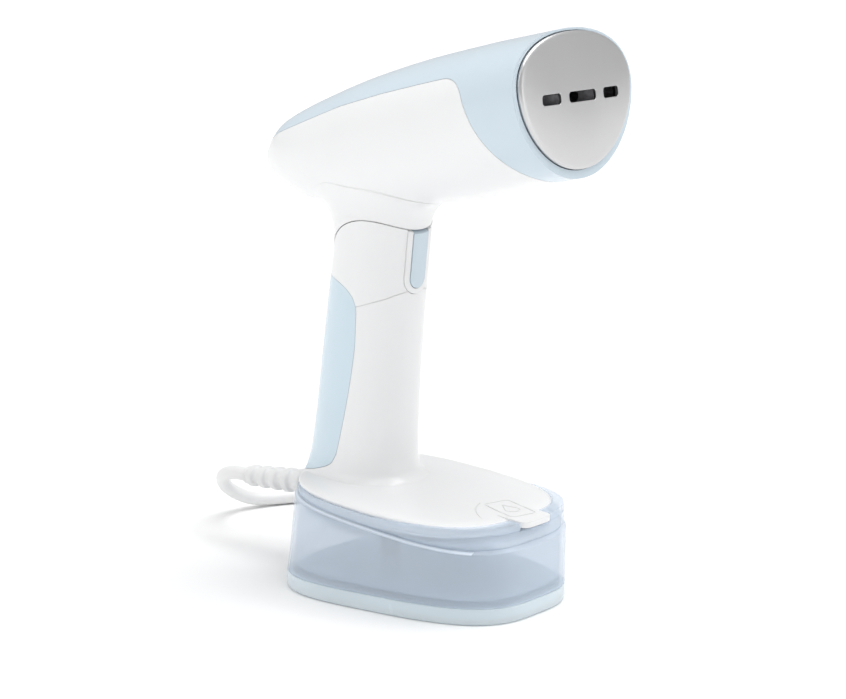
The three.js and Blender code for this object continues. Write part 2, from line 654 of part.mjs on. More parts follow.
function tankStation(z, inset) {
  const rise = Math.min(Math.max((z - TANK.band) / (TANK.ledge - TANK.band), 0), 1);
  const at = (key) => FOOT[key] + (RIM[key] - FOOT[key]) * rise;
  const shape = { n: at('n'), taper: at('taper'), slope: tankSlope(z) };
  return level(z, at('x'), at('half') - inset, at('width') - inset, shape);
}

// a solid following the tank's outline, through [height, inset] pairs
function tankLoft(...profile) {
  return loft(profile.map(([z, inset]) => tankStation(z, inset)), DECK_SIDES);
}

// the hollow for the strain relief at the tank's rear, with walls of its own
const WELL = { front: -53.6, half: 11, low: 26, wall: 2.5 };

function tankShell() {
  const floor = TANK.band + GAP;
  const { ledge, top, step, wall } = TANK;
  const outer = tankLoft([floor, 0], [20, 0], [ledge, 0], [ledge + 0.8, step], [top, step]);
  const floorRound = [[floor + wall, wall + 1.2], [floor + 2 * wall, wall]];
  const hollow = tankLoft(...floorRound, [34, wall], [top + 1, step + wall]);
  const deckRoom = deckLoft([-17, 2], [top - DECK.edge, 2], [top - DECK.edge + 0.01, -9], [15, -9]);
  const well = box(-80, WELL.front, -WELL.half, WELL.half, WELL.low, 60);
  const notchHalf = WELL.half - WELL.wall;
  const notch = box(-90, WELL.front - WELL.wall, -notchHalf, notchHalf, WELL.low + WELL.wall, 60);
  const tongueRoom = box(50, 90, -TONGUE.half - 2 * GAP, TONGUE.half + 2 * GAP, 41, 60);
  const walls = outer.subtract(hollow.subtract(well)).subtract(deckRoom.intersect(above(DECK.skirtLow - 1)));
  return walls.subtract(notch).add(frontLip()).subtract(tongueRoom);
}

// the raised rim that wraps the front corners of the deck
function frontLip() {
  const outside = tankLoft([TANK.ledge + 1, TANK.step], [50, TANK.step + 0.4]);
  const deck = deckLoft([-15, -0.4], [15, -0.4]);
  const over = sideCut([[8, 45], [30, 45.6], [60, 45.4], [80, 44.4], [80, 80], [8, 80]], -FAR, FAR);
  return outside.subtract(deck).subtract(over).intersect(box(8, 90, -FAR, FAR, TANK.top - 3, 60));
}

const LID = { low: 35.4, high: 37, x: 2, half: 58.2, width: 42.2, n: 3.1, taper: -0.05 };
const FILLER = { x: 22, r: 14 };

function tankLid() {
  const ring = (z) => level(z, LID.x, LID.half, LID.width, { n: LID.n, taper: LID.taper });
  const lid = loft([ring(LID.low), ring(LID.high)], 40);
  const socket = rod(11, [SUCTION.x, 0, 30], [SUCTION.x, 0, 50], 24);
  const filler = rod(FILLER.r, [FILLER.x, 0, 30], [FILLER.x, 0, 50], 32);
  const wellRoom = box(-90, WELL.front + 0.4, -WELL.half - 0.4, WELL.half + 0.4, 20, 60);
  return lid.subtract(socket).subtract(filler).subtract(wellRoom);
}

function tankPieces() {
  add('tank_shell', tankShell(), CLEAR);
  add('tank_lid', tankLid(), CLEAR);
  const band = tankLoft([0, 1.4], [1, 0.4], [2.4, 0], [TANK.band, 0]);
  add('tank_base', band.subtract(tankLoft([2.2, 2.4], [TANK.band + 1, 2.2])), BLUE);
  add('tank_seal', pipe(10.6, 7.6, [SUCTION.x, 0, 34.6], [SUCTION.x, 0, 38], 24), RUBBER);
}

// ---------------------------------------------------------------- cord and plug
const CORD_ROUTE = [
  [RELIEF.back - GAP, 0, 33],
  [-126, 0.3, 32.6],
  [-134, 2, 30.6],
  [-142, 6.4, 26.8],
  [-148.6, 12.6, 21.4],
  [-153, 21, 15],
  [-154.6, 30.5, 9.4],
  [-153.6, 40, 5.4],
  [-150, 50, 3.9],
  [-144.6, 59.4, 3.7],
  [-139.2, 67.6, 3.7],
  [-134.6, 76, 3.7],
];

function cordPieces() {
  const { d, coilX, coilY, coilR, turns, layers } = CORD;
  const half = (turns * d) / 2;
  add('cord_lead', hose(CORD_ROUTE, d / 2, 8, 26), CORD_WHITE);
  const [near, far, low, high, round] = [coilR - half, coilR + half, 0.2, layers * d + 0.2, 2];
  const profile = [
    [near, low + round], [near + round, low], [far - round, low], [far, low + round],
    [far, high - round], [far - round, high], [near + round, high], [near, high - round], [near, low + round],
  ];
  const ring = new THREE.LatheGeometry(profile.map(([r, z]) => new THREE.Vector2(r, z)), 28);
  ring.rotateX(Math.PI / 2);
  ring.translate(coilX, coilY, 0);
  add('cord_coil', solid(ring), CORD_WHITE);
  const { thick, half: reach } = TIE;
  const strap = box(near - 2 * GAP - thick, far + GAP + thick, -reach, reach, low, high + GAP + thick);
  const room = box(near - 2 * GAP, far + GAP, -reach - 1, reach + 1, -1, high + GAP);
  add('cord_tie', strap.subtract(room), RUBBER, [coilX, coilY, 0], TIE.turn * RAD);
}

const TIE = { thick: 1.3, half: 4, turn: 20 };
const PLUG = { x: -112, y: 82.7, z: 24, length: 34, width: 15, height: 9, turn: 130 };
const PLUG_PIN = { r: 2.4, reach: 19, spacing: 9.5 };

// a moulded two-pin plug lying on the coil, its pins pointing away from the object
function plugPieces() {
  const { x, y, z, length, width, height, turn } = PLUG;
  const place = (geometry) => {
    geometry.rotateZ(turn * RAD);
    geometry.translate(x, y, z);
    return solid(geometry);
  };
  const shape = new THREE.Shape();
  shape.moveTo(length / 2, -width);
  shape.lineTo(length / 2, width);
  shape.lineTo(length / 2 - 16, width);
  shape.quadraticCurveTo(-length / 2 + 2, width - 2, -length / 2, 5);
  shape.lineTo(-length / 2, -5);
  shape.quadraticCurveTo(-length / 2 + 2, -width + 2, length / 2 - 16, -width);
  const body = new THREE.ExtrudeGeometry(shape, { depth: 2 * height, bevelEnabled: false, curveSegments: 5 });
  body.translate(0, 0, -height);
  add('plug_body', place(body), CORD_WHITE);
  for (const [name, side] of [['left', 1], ['right', -1]]) {
    const blade = new THREE.CylinderGeometry(PLUG_PIN.r, PLUG_PIN.r, PLUG_PIN.reach, 12);
    blade.rotateZ(Math.PI / 2);
    blade.translate(length / 2 + GAP + PLUG_PIN.reach / 2, side * PLUG_PIN.spacing, 0);
    add(`plug_pin_${name}`, place(blade), BRASS);
  }
}

handsetPieces();
waterPath();
electrics();
hinge();
headPieces();
tankPieces();
cordPieces();
plugPieces();

export default steamer;
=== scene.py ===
"""A folding hand-held garment steamer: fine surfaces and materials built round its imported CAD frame.

Lengths are in millimetres until a mesh is made, and then in metres. +X points towards the steam plate, +Z up.
"""
import json
import math

import bpy
from mathutils import Matrix, Vector


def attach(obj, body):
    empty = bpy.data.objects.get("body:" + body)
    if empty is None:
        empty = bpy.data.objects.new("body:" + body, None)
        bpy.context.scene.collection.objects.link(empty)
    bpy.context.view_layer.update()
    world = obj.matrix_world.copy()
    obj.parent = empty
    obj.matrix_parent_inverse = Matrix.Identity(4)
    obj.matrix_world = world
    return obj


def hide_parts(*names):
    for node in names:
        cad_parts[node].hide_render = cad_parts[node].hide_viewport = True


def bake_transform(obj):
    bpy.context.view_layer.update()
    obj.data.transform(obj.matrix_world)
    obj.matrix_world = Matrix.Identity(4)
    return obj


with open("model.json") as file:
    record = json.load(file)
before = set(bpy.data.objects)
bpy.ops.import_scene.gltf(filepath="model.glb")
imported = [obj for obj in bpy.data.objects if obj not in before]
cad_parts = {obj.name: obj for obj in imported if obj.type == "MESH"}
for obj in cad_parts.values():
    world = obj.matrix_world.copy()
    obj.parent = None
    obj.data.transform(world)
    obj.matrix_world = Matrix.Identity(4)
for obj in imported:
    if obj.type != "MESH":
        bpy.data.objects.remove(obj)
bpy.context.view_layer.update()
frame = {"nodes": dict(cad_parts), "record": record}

# ------------------------------------------------------------ units, camera and driving dimensions
MM = 0.001
RAD = math.pi / 180
FAR = 200

CAMERA = {"place": (0.704, -0.820, 0.350), "yaw": 40.7 * RAD, "pitch": -12.3 * RAD, "lens": 101.06}

# SEAM, LIP and the neck's flare are finer here than in the CAD part, and the rest are its dimensions
GAP = 0.3
SEAM = 0.12
WALL = 2.2
HEAD = {"pitch": 12.5 * RAD, "z": 215, "front": 86, "plate_tilt": 7 * RAD, "n": 2.12}
LIP = 1.4
RIM_FRONT = HEAD["front"] + 1.8
NECK_FLARE = {"side": 6, "front": 9, "rear": 6, "drop": 1.15}
PLATE = {"s": 89.6, "width": 38.6, "height": 29.9, "dome": 2.6, "skin": 1.2, "egg": 0.18}
SLOTS = {"rise": 1.7, "height": 4.7, "corner": 1.5, "across": ((-27, -15), (-9.5, 9.5), (15, 27))}
HANDLE_N = 2.2
PIVOT = (-18.8, 144)
DRUM = 31.2
ARM = {"slot_back": -61.5, "slot_front": 20.5, "half": 6.5}
DECK = {"edge": 45.2, "rise": 3.7, "half": 59.6, "width": 45.4, "x": -0.5, "slope": -0.05, "n": 2.9,
        "skirt_low": 39.2}
WELL = {"front": -53.6, "half": 11, "low": 26, "wall": 2.5}
TANK = {"band": 8, "ledge": 40.2, "ledge_slope": -0.085, "top": 44.9, "step": 1.1, "wall": 2, "corner": 57}
FOOT = {"x": 5.2, "half": 63.4, "width": 48.6, "n": 3.3, "taper": -0.2}
RIM = {"x": 3.3, "half": 63.8, "width": 47.2, "n": 3.05, "taper": -0.02}
TRIGGER = {"low": 143, "high": 171.5, "half": 5, "pin": (-5.6, 166)}
CORD = {"d": 7, "x": -81.5, "y": 88.7, "r": 38, "turns": 3, "layers": 2}
PLUG = {"x": -112, "y": 82.7, "z": 24, "length": 34, "width": 15, "height": 9, "turn": 130 * RAD}
PLUG_BACK = (PLUG["x"] - PLUG["length"] / 2 * math.cos(PLUG["turn"]),
             PLUG["y"] - PLUG["length"] / 2 * math.sin(PLUG["turn"]), PLUG["z"])
RELIEF = {"z": 38, "back": -118, "front": -62.4, "drop": 5, "hole": 5.4, "hole_rise": 3.4}


# ------------------------------------------------------------ numbers and curves
def curve(*points):
    """A smooth, never overshooting function through the given (x, y) points."""
    xs = [p[0] for p in points]
    ys = [p[1] for p in points]
    last = len(xs) - 1
    secants = [(ys[i + 1] - ys[i]) / (xs[i + 1] - xs[i]) for i in range(last)]

    def slope(i):
        if i in (0, last):
            return secants[max(i - 1, 0)]
        product = secants[i - 1] * secants[i]
        return 0 if product <= 0 else 2 * product / (secants[i - 1] + secants[i])

    slopes = [slope(i) for i in range(last + 1)]

    def value(x):
        x = min(max(x, xs[0]), xs[-1])
        i = next((k for k in range(last) if xs[k + 1] >= x), last - 1)
        h = xs[i + 1] - xs[i]
        t = (x - xs[i]) / h
        bend = h * (slopes[i] * t * (1 - t) ** 2 - slopes[i + 1] * t * t * (1 - t))
        return ys[i] + (ys[i + 1] - ys[i]) * t * t * (3 - 2 * t) + bend

    return value


def steps(start, end, count):
    return [start + (end - start) * i / count for i in range(count + 1)]


def bezier(p0, p1, p2, count):
    out = []
    for t in steps(0, 1, count):
        weights = ((1 - t) ** 2, 2 * t * (1 - t), t * t)
        out.append(tuple(weights[0] * a + weights[1] * b + weights[2] * c for a, b, c in zip(p0, p1, p2)))
    return out


def smooth_line(points, per_span=8):
    """Catmull-Rom points through a list of points of any size."""
    ends = [points[0], *points, points[-1]]
    out = []
    for a, b, c, d in zip(ends, ends[1:], ends[2:], ends[3:]):
        for t in steps(0, 1, per_span)[:-1]:
            out.append(tuple(
                0.5 * (2 * q + (r - p) * t + (2 * p - 5 * q + 4 * r - s) * t * t
                       + (3 * q - p - 3 * r + s) * t ** 3)
                for p, q, r, s in zip(a, b, c, d)))
    return [*out, tuple(points[-1])]


# ------------------------------------------------------------ camera
def make_camera():
    data = bpy.data.cameras.new("camera")
    camera = bpy.data.objects.new("camera", data)
    bpy.context.scene.collection.objects.link(camera)
    camera.location = CAMERA["place"]
    camera.rotation_euler = (math.pi / 2 + CAMERA["pitch"], 0, CAMERA["yaw"])
    data.sensor_width = 36
    data.lens = CAMERA["lens"]
    bpy.context.scene.camera = camera


# ------------------------------------------------------------ meshes and booleans
def new_object(name, data):
    made = bpy.data.objects.new(name, data)
    bpy.context.scene.collection.objects.link(made)
    return made


def solid(points, faces):
    """A mesh object from points in millimetres."""
    data = bpy.data.meshes.new("tool")
    data.from_pydata([(x * MM, y * MM, z * MM) for x, y, z in points], [], faces)
    data.update()
    return new_object("tool", data)


def superellipse(u, v, n, taper, sides):
    """Points round a squarish oval: n is its squareness, taper widens it towards +u."""
    for k in range(sides):
        angle = 2 * math.pi * k / sides
        c, s = math.cos(angle), math.sin(angle)
        pu = math.copysign(abs(c) ** (2 / n), c)
        pv = math.copysign(abs(s) ** (2 / n), s) * (1 + taper * pu)
        yield u * pu, v * pv


def station(centre, axis_u, axis_v, u, v, n=2, taper=0, slope=0):
    """One ring of a loft: its middle, its two axes, their half sizes, squareness, taper and tilt along X."""
    return Vector(centre), Vector(axis_u), Vector(axis_v), u, v, n, taper, slope


def level(z, x, u, v, **shape):
    return station((x, 0, z), (1, 0, 0), (0, 1, 0), u, v, **shape)


def loft(stations, sides=128):
    points = []
    for centre, axis_u, axis_v, u, v, n, taper, slope in stations:
        for pu, pv in superellipse(u, v, n, taper, sides):
            p = centre + axis_u * pu + axis_v * pv
            points.append((p.x, p.y, p.z + slope * p.x))
    faces = []
    for r in range(len(stations) - 1):
        for k in range(sides):
            a, b = r * sides + k, r * sides + (k + 1) % sides
            faces.append((a, b, b + sides, a + sides))
    faces.append(tuple(reversed(range(sides))))
    faces.append(tuple(range((len(stations) - 1) * sides, len(stations) * sides)))
    return solid(points, faces)


def box(x0, x1, y0, y1, z0, z1):
    points = [(x, y, z) for x in (x0, x1) for y in (y0, y1) for z in (z0, z1)]
    faces = [(0, 1, 3, 2), (4, 6, 7, 5), (0, 4, 5, 1), (2, 3, 7, 6), (0, 2, 6, 4), (1, 5, 7, 3)]
    return solid(points, faces)


def prism(outline, place, d0, d1):
    """A closed outline of (a, b) points, made thick from d0 to d1. place(a, b, d) gives a point in space."""
    count = len(outline)
    points = [place(a, b, d) for d in (d0, d1) for a, b in outline]
    faces = [tuple(reversed(range(count))), tuple(range(count, 2 * count))]
    for k in range(count):
        j = (k + 1) % count
        faces.append((k, j, j + count, k + count))
    made = solid(points, faces)
    face_out(made)
    return made


def face_out(made):
    """Turns a closed mesh so that its faces point out."""
    data = made.data
    volume = 0
    for polygon in data.polygons:
        first, *rest = [data.vertices[i].co for i in polygon.vertices]
        for a, b in zip(rest, rest[1:]):
            volume += first.dot(a.cross(b))
    if volume < 0:
        data.flip_normals()


def side_cut(outline, y0=-FAR, y1=FAR):
    return prism(outline, lambda x, z, y: (x, y, z), y0, y1)


def rod(radius, start, end, sides=64):
    start, end = Vector(start), Vector(end)
    along = (end - start).normalized()
    side = along.orthogonal().normalized()
    other = along.cross(side)
    points = [tuple(p + (side * math.cos(a) + other * math.sin(a)) * radius)
              for p in (start, end) for a in steps(0, 2 * math.pi, sides)[:-1]]
    faces = [tuple(reversed(range(sides))), tuple(range(sides, 2 * sides))]
    faces += [(k, (k + 1) % sides, (k + 1) % sides + sides, k + sides) for k in range(sides)]
    return solid(points, faces)


def lathe(profile, place, sides=64):
    """A solid turned round an axis. profile holds (along, radius) pairs, place(along, a, b) gives a point."""
    points = []
    for along, radius in profile:
        for a in steps(0, 2 * math.pi, sides)[:-1]:
            points.append(place(along, radius * math.cos(a), radius * math.sin(a)))
    faces = [tuple(reversed(range(sides)))]
    for r in range(len(profile) - 1):
        for k in range(sides):
            j = (k + 1) % sides
            faces.append((r * sides + k, r * sides + j, (r + 1) * sides + j, (r + 1) * sides + k))
    faces.append(tuple(range((len(profile) - 1) * sides, len(profile) * sides)))
    made = solid(points, faces)
    face_out(made)
    return made


def combine(body, tool, how):
    """Joins a tool to a body, cuts it away or keeps what is in both. The tool is used up."""
    before = len(body.data.vertices)
    change = body.modifiers.new("change", "BOOLEAN")
    change.operation = how
    change.solver = "MANIFOLD"
    change.object = tool
    graph = bpy.context.evaluated_depsgraph_get()
    result = bpy.data.meshes.new_from_object(body.evaluated_get(graph))
    if how == "DIFFERENCE" and len(result.vertices) == before:
        print("NOTE: a cut changed nothing", body.name)
    body.modifiers.remove(change)
    body.data = result
    bpy.data.objects.remove(tool)
    return body


def cut(body, *tools):
    for tool in tools:
        combine(body, tool, "DIFFERENCE")
    return body


def join(body, *tools):
    for tool in tools:
        combine(body, tool, "UNION")
    return body


def keep(body, *tools):
    for tool in tools:
        combine(body, tool, "INTERSECT")
    return body


def piece(made, name, body, finish, slot, *nodes, sharp=38):
    """Names a finished piece, smooths its shading, and hands it to the frame."""
    made.name = name
    made.data.name = name
    made.data.materials.clear()
    made.data.materials.append(finish)
    for polygon in made.data.polygons:
        polygon.use_smooth = True
    made.data.set_sharp_from_angle(angle=sharp * RAD)
    normals = made.modifiers.new("even shading", "WEIGHTED_NORMAL")
    normals.keep_sharp = True
    if body:
        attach(made, body)
    if nodes:
        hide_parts(*nodes)
    return made


# ------------------------------------------------------------ materials
def node_tree(name):
    """A new material, its node tree and its main shader."""
    made = bpy.data.materials.new(name)
    made.use_nodes = True
    tree = made.node_tree
    shader = tree.nodes["Principled BSDF"]
    return made, tree, shader


def noise(tree, scale, detail=3, stretch=None):
    """A noise value in object space, in metres."""
    where = tree.nodes.new("ShaderNodeTexCoord")
    texture = tree.nodes.new("ShaderNodeTexNoise")
    texture.inputs["Scale"].default_value = scale
    texture.inputs["Detail"].default_value = detail
    source = where.outputs["Object"]
    if stretch:
        mapping = tree.nodes.new("ShaderNodeMapping")
        mapping.inputs["Scale"].default_value = stretch
        tree.links.new(source, mapping.inputs["Vector"])
        source = mapping.outputs["Vector"]
    tree.links.new(source, texture.inputs["Vector"])
    return texture.outputs["Fac"]


def spread(tree, fac, low, high):
    """The middle part of a noise value, spread from low to high."""
    made = tree.nodes.new("ShaderNodeMapRange")
    made.inputs["From Min"].default_value = 0.3
    made.inputs["From Max"].default_value = 0.7
    made.inputs["To Min"].default_value = low
    made.inputs["To Max"].default_value = high
    tree.links.new(fac, made.inputs["Value"])
    return made.outputs["Result"]


def tint(tree, fac, low, high):
    """A colour between two others, by a noise value."""
    made = tree.nodes.new("ShaderNodeMix")
    made.data_type = "RGBA"
    tree.links.new(spread(tree, fac, 0, 1), made.inputs["Factor"])
    made.inputs[6].default_value = (*low, 1)
    made.inputs[7].default_value = (*high, 1)
    return made.outputs[2]


def bump(tree, fac, strength, distance, round_edges=0.0):
    """A normal with fine relief, and with edges rounded to the given radius."""
    made = tree.nodes.new("ShaderNodeBump")
    made.inputs["Strength"].default_value = strength
    made.inputs["Distance"].default_value = distance
    tree.links.new(fac, made.inputs["Height"])
    if round_edges:
        edges = tree.nodes.new("ShaderNodeBevel")
        edges.samples = 4
        edges.inputs["Radius"].default_value = round_edges
        tree.links.new(edges.outputs["Normal"], made.inputs["Normal"])
    return made.outputs["Normal"]


def moulded(name, color, rough, vary=0.03, grain=0.015, coat=0.0, edge=0.0004):
    """Moulded plastic or rubber: fine mould grain, uneven gloss and slightly uneven colour."""
    made, tree, shader = node_tree(name)
    cloudy = noise(tree, 28, 4)
    fine = noise(tree, 1500, 2)
    low = tuple(c * (1 - vary) for c in color)
    high = tuple(min(c * (1 + vary * 0.6), 1) for c in color)
    tree.links.new(tint(tree, cloudy, low, high), shader.inputs["Base Color"])
    tree.links.new(spread(tree, noise(tree, 60, 2), rough * 0.97, rough * 1.03), shader.inputs["Roughness"])
    tree.links.new(bump(tree, fine, grain, 0.0001, edge), shader.inputs["Normal"])
    shader.inputs["Coat Weight"].default_value = coat
    shader.inputs["Coat Roughness"].default_value = 0.12
    return made


def satin_steel():
    """Rolled and satin ground sheet, with a fine grain along Y."""
    made, tree, shader = node_tree("satin_steel")
    fine = noise(tree, 420, 5, stretch=(1, 0.06, 3.2))
    cloudy = noise(tree, 22, 3)
    tree.links.new(tint(tree, cloudy, (0.62, 0.62, 0.625), (0.65, 0.65, 0.655)), shader.inputs["Base Color"])
    tree.links.new(spread(tree, fine, 0.31, 0.34), shader.inputs["Roughness"])
    tree.links.new(bump(tree, fine, 0.05, 0.00005, 0.0004), shader.inputs["Normal"])
    shader.inputs["Metallic"].default_value = 1
    return made


def metal(name, color, rough, grain=0.1, scale=300):
    """Bare metal with uneven gloss and fine relief."""
    made, tree, shader = node_tree(name)
    rolled = noise(tree, scale, 5)
    low = tuple(c * 0.9 for c in color)
    tree.links.new(tint(tree, noise(tree, 60, 4), low, color), shader.inputs["Base Color"])
    tree.links.new(spread(tree, rolled, rough * 0.8, rough * 1.3), shader.inputs["Roughness"])
    tree.links.new(bump(tree, rolled, grain, 0.0001), shader.inputs["Normal"])
    shader.inputs["Metallic"].default_value = 1
    return made


def clear_plastic(name, through, body, share, rough=0.12):
    """Tinted clear polycarbonate: each wall lets most light through and adds a little of its own colour."""
    made, tree, shader = node_tree(name)
    darker = tuple(c * 0.95 for c in body)
    tree.links.new(tint(tree, noise(tree, 14, 2), darker, body), shader.inputs["Base Color"])
    tree.links.new(spread(tree, noise(tree, 60, 3), rough * 0.7, rough * 1.4), shader.inputs["Roughness"])
    tree.links.new(bump(tree, noise(tree, 900, 2), 0.03, 0.0001, 0.0005), shader.inputs["Normal"])
    see_through = tree.nodes.new("ShaderNodeBsdfTransparent")
    see_through.inputs["Color"].default_value = (*through, 1)
    facing = tree.nodes.new("ShaderNodeLayerWeight")
    facing.inputs["Blend"].default_value = 0.35
    amount = tree.nodes.new("ShaderNodeMapRange")
    amount.inputs["To Min"].default_value = share[0]
    amount.inputs["To Max"].default_value = share[1]
    tree.links.new(facing.outputs["Facing"], amount.inputs["Value"])
    mix = tree.nodes.new("ShaderNodeMixShader")
    tree.links.new(amount.outputs["Result"], mix.inputs["Fac"])
    tree.links.new(see_through.outputs["BSDF"], mix.inputs[1])
    tree.links.new(shader.outputs["BSDF"], mix.inputs[2])
    out = tree.nodes["Material Output"]
    tree.links.new(mix.outputs["Shader"], out.inputs["Surface"])
    return made


WHITE = moulded("white_plastic", (0.83, 0.835, 0.84), 0.3, vary=0.012, coat=0.25)
BLUE = moulded("blue_plastic", (0.585, 0.685, 0.76), 0.24, vary=0.015, coat=0.35)
LIGHT_BLUE = moulded("light_blue_plastic", (0.6, 0.72, 0.8), 0.26, vary=0.015, coat=0.3)
CLEAR = clear_plastic("clear_tank", (0.952, 0.966, 0.984), (0.8, 0.89, 0.99), (0.3, 0.42))
BAND = clear_plastic("tinted_band", (0.95, 0.98, 0.99), (0.86, 0.95, 1.0), (0.55, 0.88), rough=0.2)
# a lighter, more opaque copy of the clear tank plastic, used only as a painted highlight on the tank's ledge
PAINTED_LEDGE_HIGHLIGHT = clear_plastic("painted_ledge_highlight", (0.97, 0.98, 0.99), (0.84, 0.91, 1.0), (0.6, 0.9))
FLEX = moulded("white_flex", (0.78, 0.78, 0.78), 0.5, vary=0.02, grain=0.1, edge=0.0003)
SHEATH = moulded("cord_sheath", (0.80, 0.80, 0.80), 0.42, vary=0.02, grain=0.08, edge=0)
RUBBER = moulded("soft_rubber", (0.58, 0.6, 0.62), 0.6, vary=0.05, grain=0.12, edge=0)
GREY = moulded("grey_plastic", (0.34, 0.36, 0.38), 0.5, vary=0.05, grain=0.12, edge=0)
BLACK = moulded("black_plastic", (0.025, 0.025, 0.028), 0.45, vary=0.1, grain=0.12, edge=0)
STEEL_PLATE = satin_steel()
STEEL = metal("steel_metal", (0.6, 0.6, 0.6), 0.3)
ALLOY = metal("cast_alloy", (0.2, 0.2, 0.21), 0.5, grain=0.2, scale=900)
BRASS = metal("brass_metal", (0.75, 0.58, 0.3), 0.28)
COPPER = metal("copper_coil", (0.72, 0.38, 0.2), 0.35)
BOARD = moulded("green_board", (0.04, 0.17, 0.08), 0.4, vary=0.1, grain=0.1, edge=0)


# ------------------------------------------------------------ head: outline in its own pitched line
head_top = curve((-100, 1), (-97, 7.5), (-91, 12.5), (-78, 19.3), (-39, 27.1), (-13, 30.5), (22, 33.1),
                 (55, 34))
head_bottom = curve((-100, -1), (-97, -7), (-85, -13.5), (-68, -22), (-45, -28), (-15, -31.5), (30, -33),
                    (57, -31.8), (92, -31))
head_width = curve((-100, 1), (-97, 6), (-91, 11), (-78, 18.5), (-50, 27), (-20, 33.5), (10, 37.5), (40, 40),
                   (70, 41.3))
head_tilt = curve((40, HEAD["pitch"]), (84, HEAD["plate_tilt"]))
head_egg = curve((-60, 0), (80, PLATE["egg"]))


def head_point(s, t):
    c, n = math.cos(HEAD["pitch"]), math.sin(HEAD["pitch"])
    return Vector((s * c - t * n, 0, HEAD["z"] + s * n + t * c))


def upright(centre, tilt, u, v, **shape):
    return station(centre, (-math.sin(tilt), 0, math.cos(tilt)), (0, -1, 0), u, v, **shape)


def head_station(s, inset):
    u = (head_top(s) - head_bottom(s)) / 2 - inset
    centre = head_point(s, (head_top(s) + head_bottom(s)) / 2)
    return upright(centre, head_tilt(s), u, head_width(s) - inset, n=HEAD["n"], taper=head_egg(s))


def head_loft(start, end, count, inset):
    return loft([head_station(s, inset) for s in steps(start, end, count)])


def head_outer():
    nose = [-100 + 8 * t * t for t in steps(0, 1, 8)]
    return loft([head_station(s, 0) for s in [*nose, *steps(-90, RIM_FRONT, 60)]])


def head_inner():
    """The room inside the head, open at its front only as far as the steam plate needs."""
    room = head_loft(-89, RIM_FRONT - LIP, 40, WALL)
    return join(room, plate_loft((-12, -0.25), (4, -0.25)))


def plate_place(d, y, v):
    """The point at y across and v up the steam plate, d in front of the middle of its rim."""
    tilt = HEAD["plate_tilt"]
    p = head_point(PLATE["s"], 2.6) + Vector((math.cos(tilt), 0, math.sin(tilt))) * d
    p += Vector((-math.sin(tilt), 0, math.cos(tilt))) * v
    return (p.x, y, p.z)


def plate_station(d, inset):
    return upright(plate_place(d, 0, 0), HEAD["plate_tilt"], PLATE["height"] - inset, PLATE["width"] - inset,
                   n=HEAD["n"], taper=PLATE["egg"])


def plate_loft(*profile):
    return loft([plate_station(d, inset) for d, inset in profile])


# ------------------------------------------------------------ neck and handle
neck_x = curve((140, -28.5), (164, -26.2), (172, -27.2), (180, -29.5), (192, -30))
neck_depth = curve((140, 23.3), (164, 23.3), (172, 24.2), (176, 26), (180, 29.5), (184, 35), (190, 42))
neck_width = curve((140, 20.4), (164, 20.4), (172, 20.8), (176, 21.5), (180, 22.6), (184, 24), (190, 26))

handle_x = curve((44, -40), (62, -38), (110, -33), (168, -25.6), (180, -24.2))
handle_depth = curve((46, 46), (48, 37), (50, 31.8), (54, 28.3), (62, 26.4), (110, 24), (168, 23))
handle_width = curve((46, 40), (48, 32), (50, 27.2), (54, 24.2), (62, 22.5), (110, 21.4), (168, 20.2))


def handle_loft(inset):
    """The handle from its flared foot up into its round top, as a solid inset from its outside."""
    levels = [*steps(46, 62, 32), *steps(64, 178, 48)]
    return loft([level(z, handle_x(z), handle_depth(z) - inset, handle_width(z) - inset, n=HANDLE_N)
                 for z in levels])


def pivot_disc(radius):
    """A wide disc round the axle that the head folds on."""
    return rod(radius, (PIVOT[0], -FAR, PIVOT[1]), (PIVOT[0], FAR, PIVOT[1]), 256)


def round_top(body, radius):
    """Rounds the handle's top about the axle."""
    above = cut(box(-FAR, FAR, -FAR, FAR, PIVOT[1], FAR * 2), pivot_disc(radius))
    return cut(body, above)


# ------------------------------------------------------------ deck
def deck_station(z, inset):
    return level(z, DECK["x"], DECK["half"] - inset, DECK["width"] - inset, n=DECK["n"], slope=DECK["slope"])


def deck_loft(*profile, sides=192):
    return loft([deck_station(DECK["edge"] + rise, inset) for rise, inset in profile], sides)


def deck_top():
    """The deck as one solid, rounded from its edge up to its nearly flat top."""
    edge = [(0, 0.9), (0.5, 0.25), (1.5, 0), (2.3, 0.5), (2.9, 1.9), (3.35, 5), (3.6, 11), (DECK["rise"], 18)]
    return deck_loft(*smooth_line(edge, 5))


def deck_hollow():
    """The room under the deck."""
    return deck_loft((-1, 3), (1.2, 3), (1.8, 9))


def deck_skirt():
    """The wall that hangs under the deck and sits inside the tank's rim."""
    outside = deck_loft((-15, 2.4), (1, 2.4))
    inside = deck_loft((-16, 4), (2, 4))
    return keep(cut(outside, inside), box(-FAR, FAR, -FAR, FAR, DECK["skirt_low"], FAR))


def over_deck():
    """All the room over the deck, where the handle may stand."""
    return deck_loft((0, 0.9), (1.6, 0), (FAR, 0))


def tongue():
    """The release tab at the front of the deck."""
    half, front, back, z, thick, corner = 10, 68.5, 52, 43.6, 2.6, 5
    right = bezier((front - 4, -half), (front, -half), (front, -half + corner), 8)
    outline = [(back, -half), *right, *[(x, -y) for x, y in reversed(right)], (back, half)]

    def place(x, y, d):
        return (x, y, z + d + DECK["slope"] * (x - back))

    return prism(outline, place, 0, thick)


# ------------------------------------------------------------ rear cover of the handle
def rear_region(back, up):
    """The side view of the rear cover, moved back and up by a seam's width."""
    edge = [(-FAR, 151), (-50, 148.4)]
    edge += bezier((-40, 146), (-24.5, 142.5), (-24.6, 131), 24)
    edge += bezier((-25.4, 116), (-28, 94), (-36.2, 62), 24)
    edge += bezier((-38.4, 58), (-43, 52.4), (-80, 47.8), 24)
    edge += [(-FAR, 47.8)]
    return side_cut([(x - back, z + up) for x, z in edge])


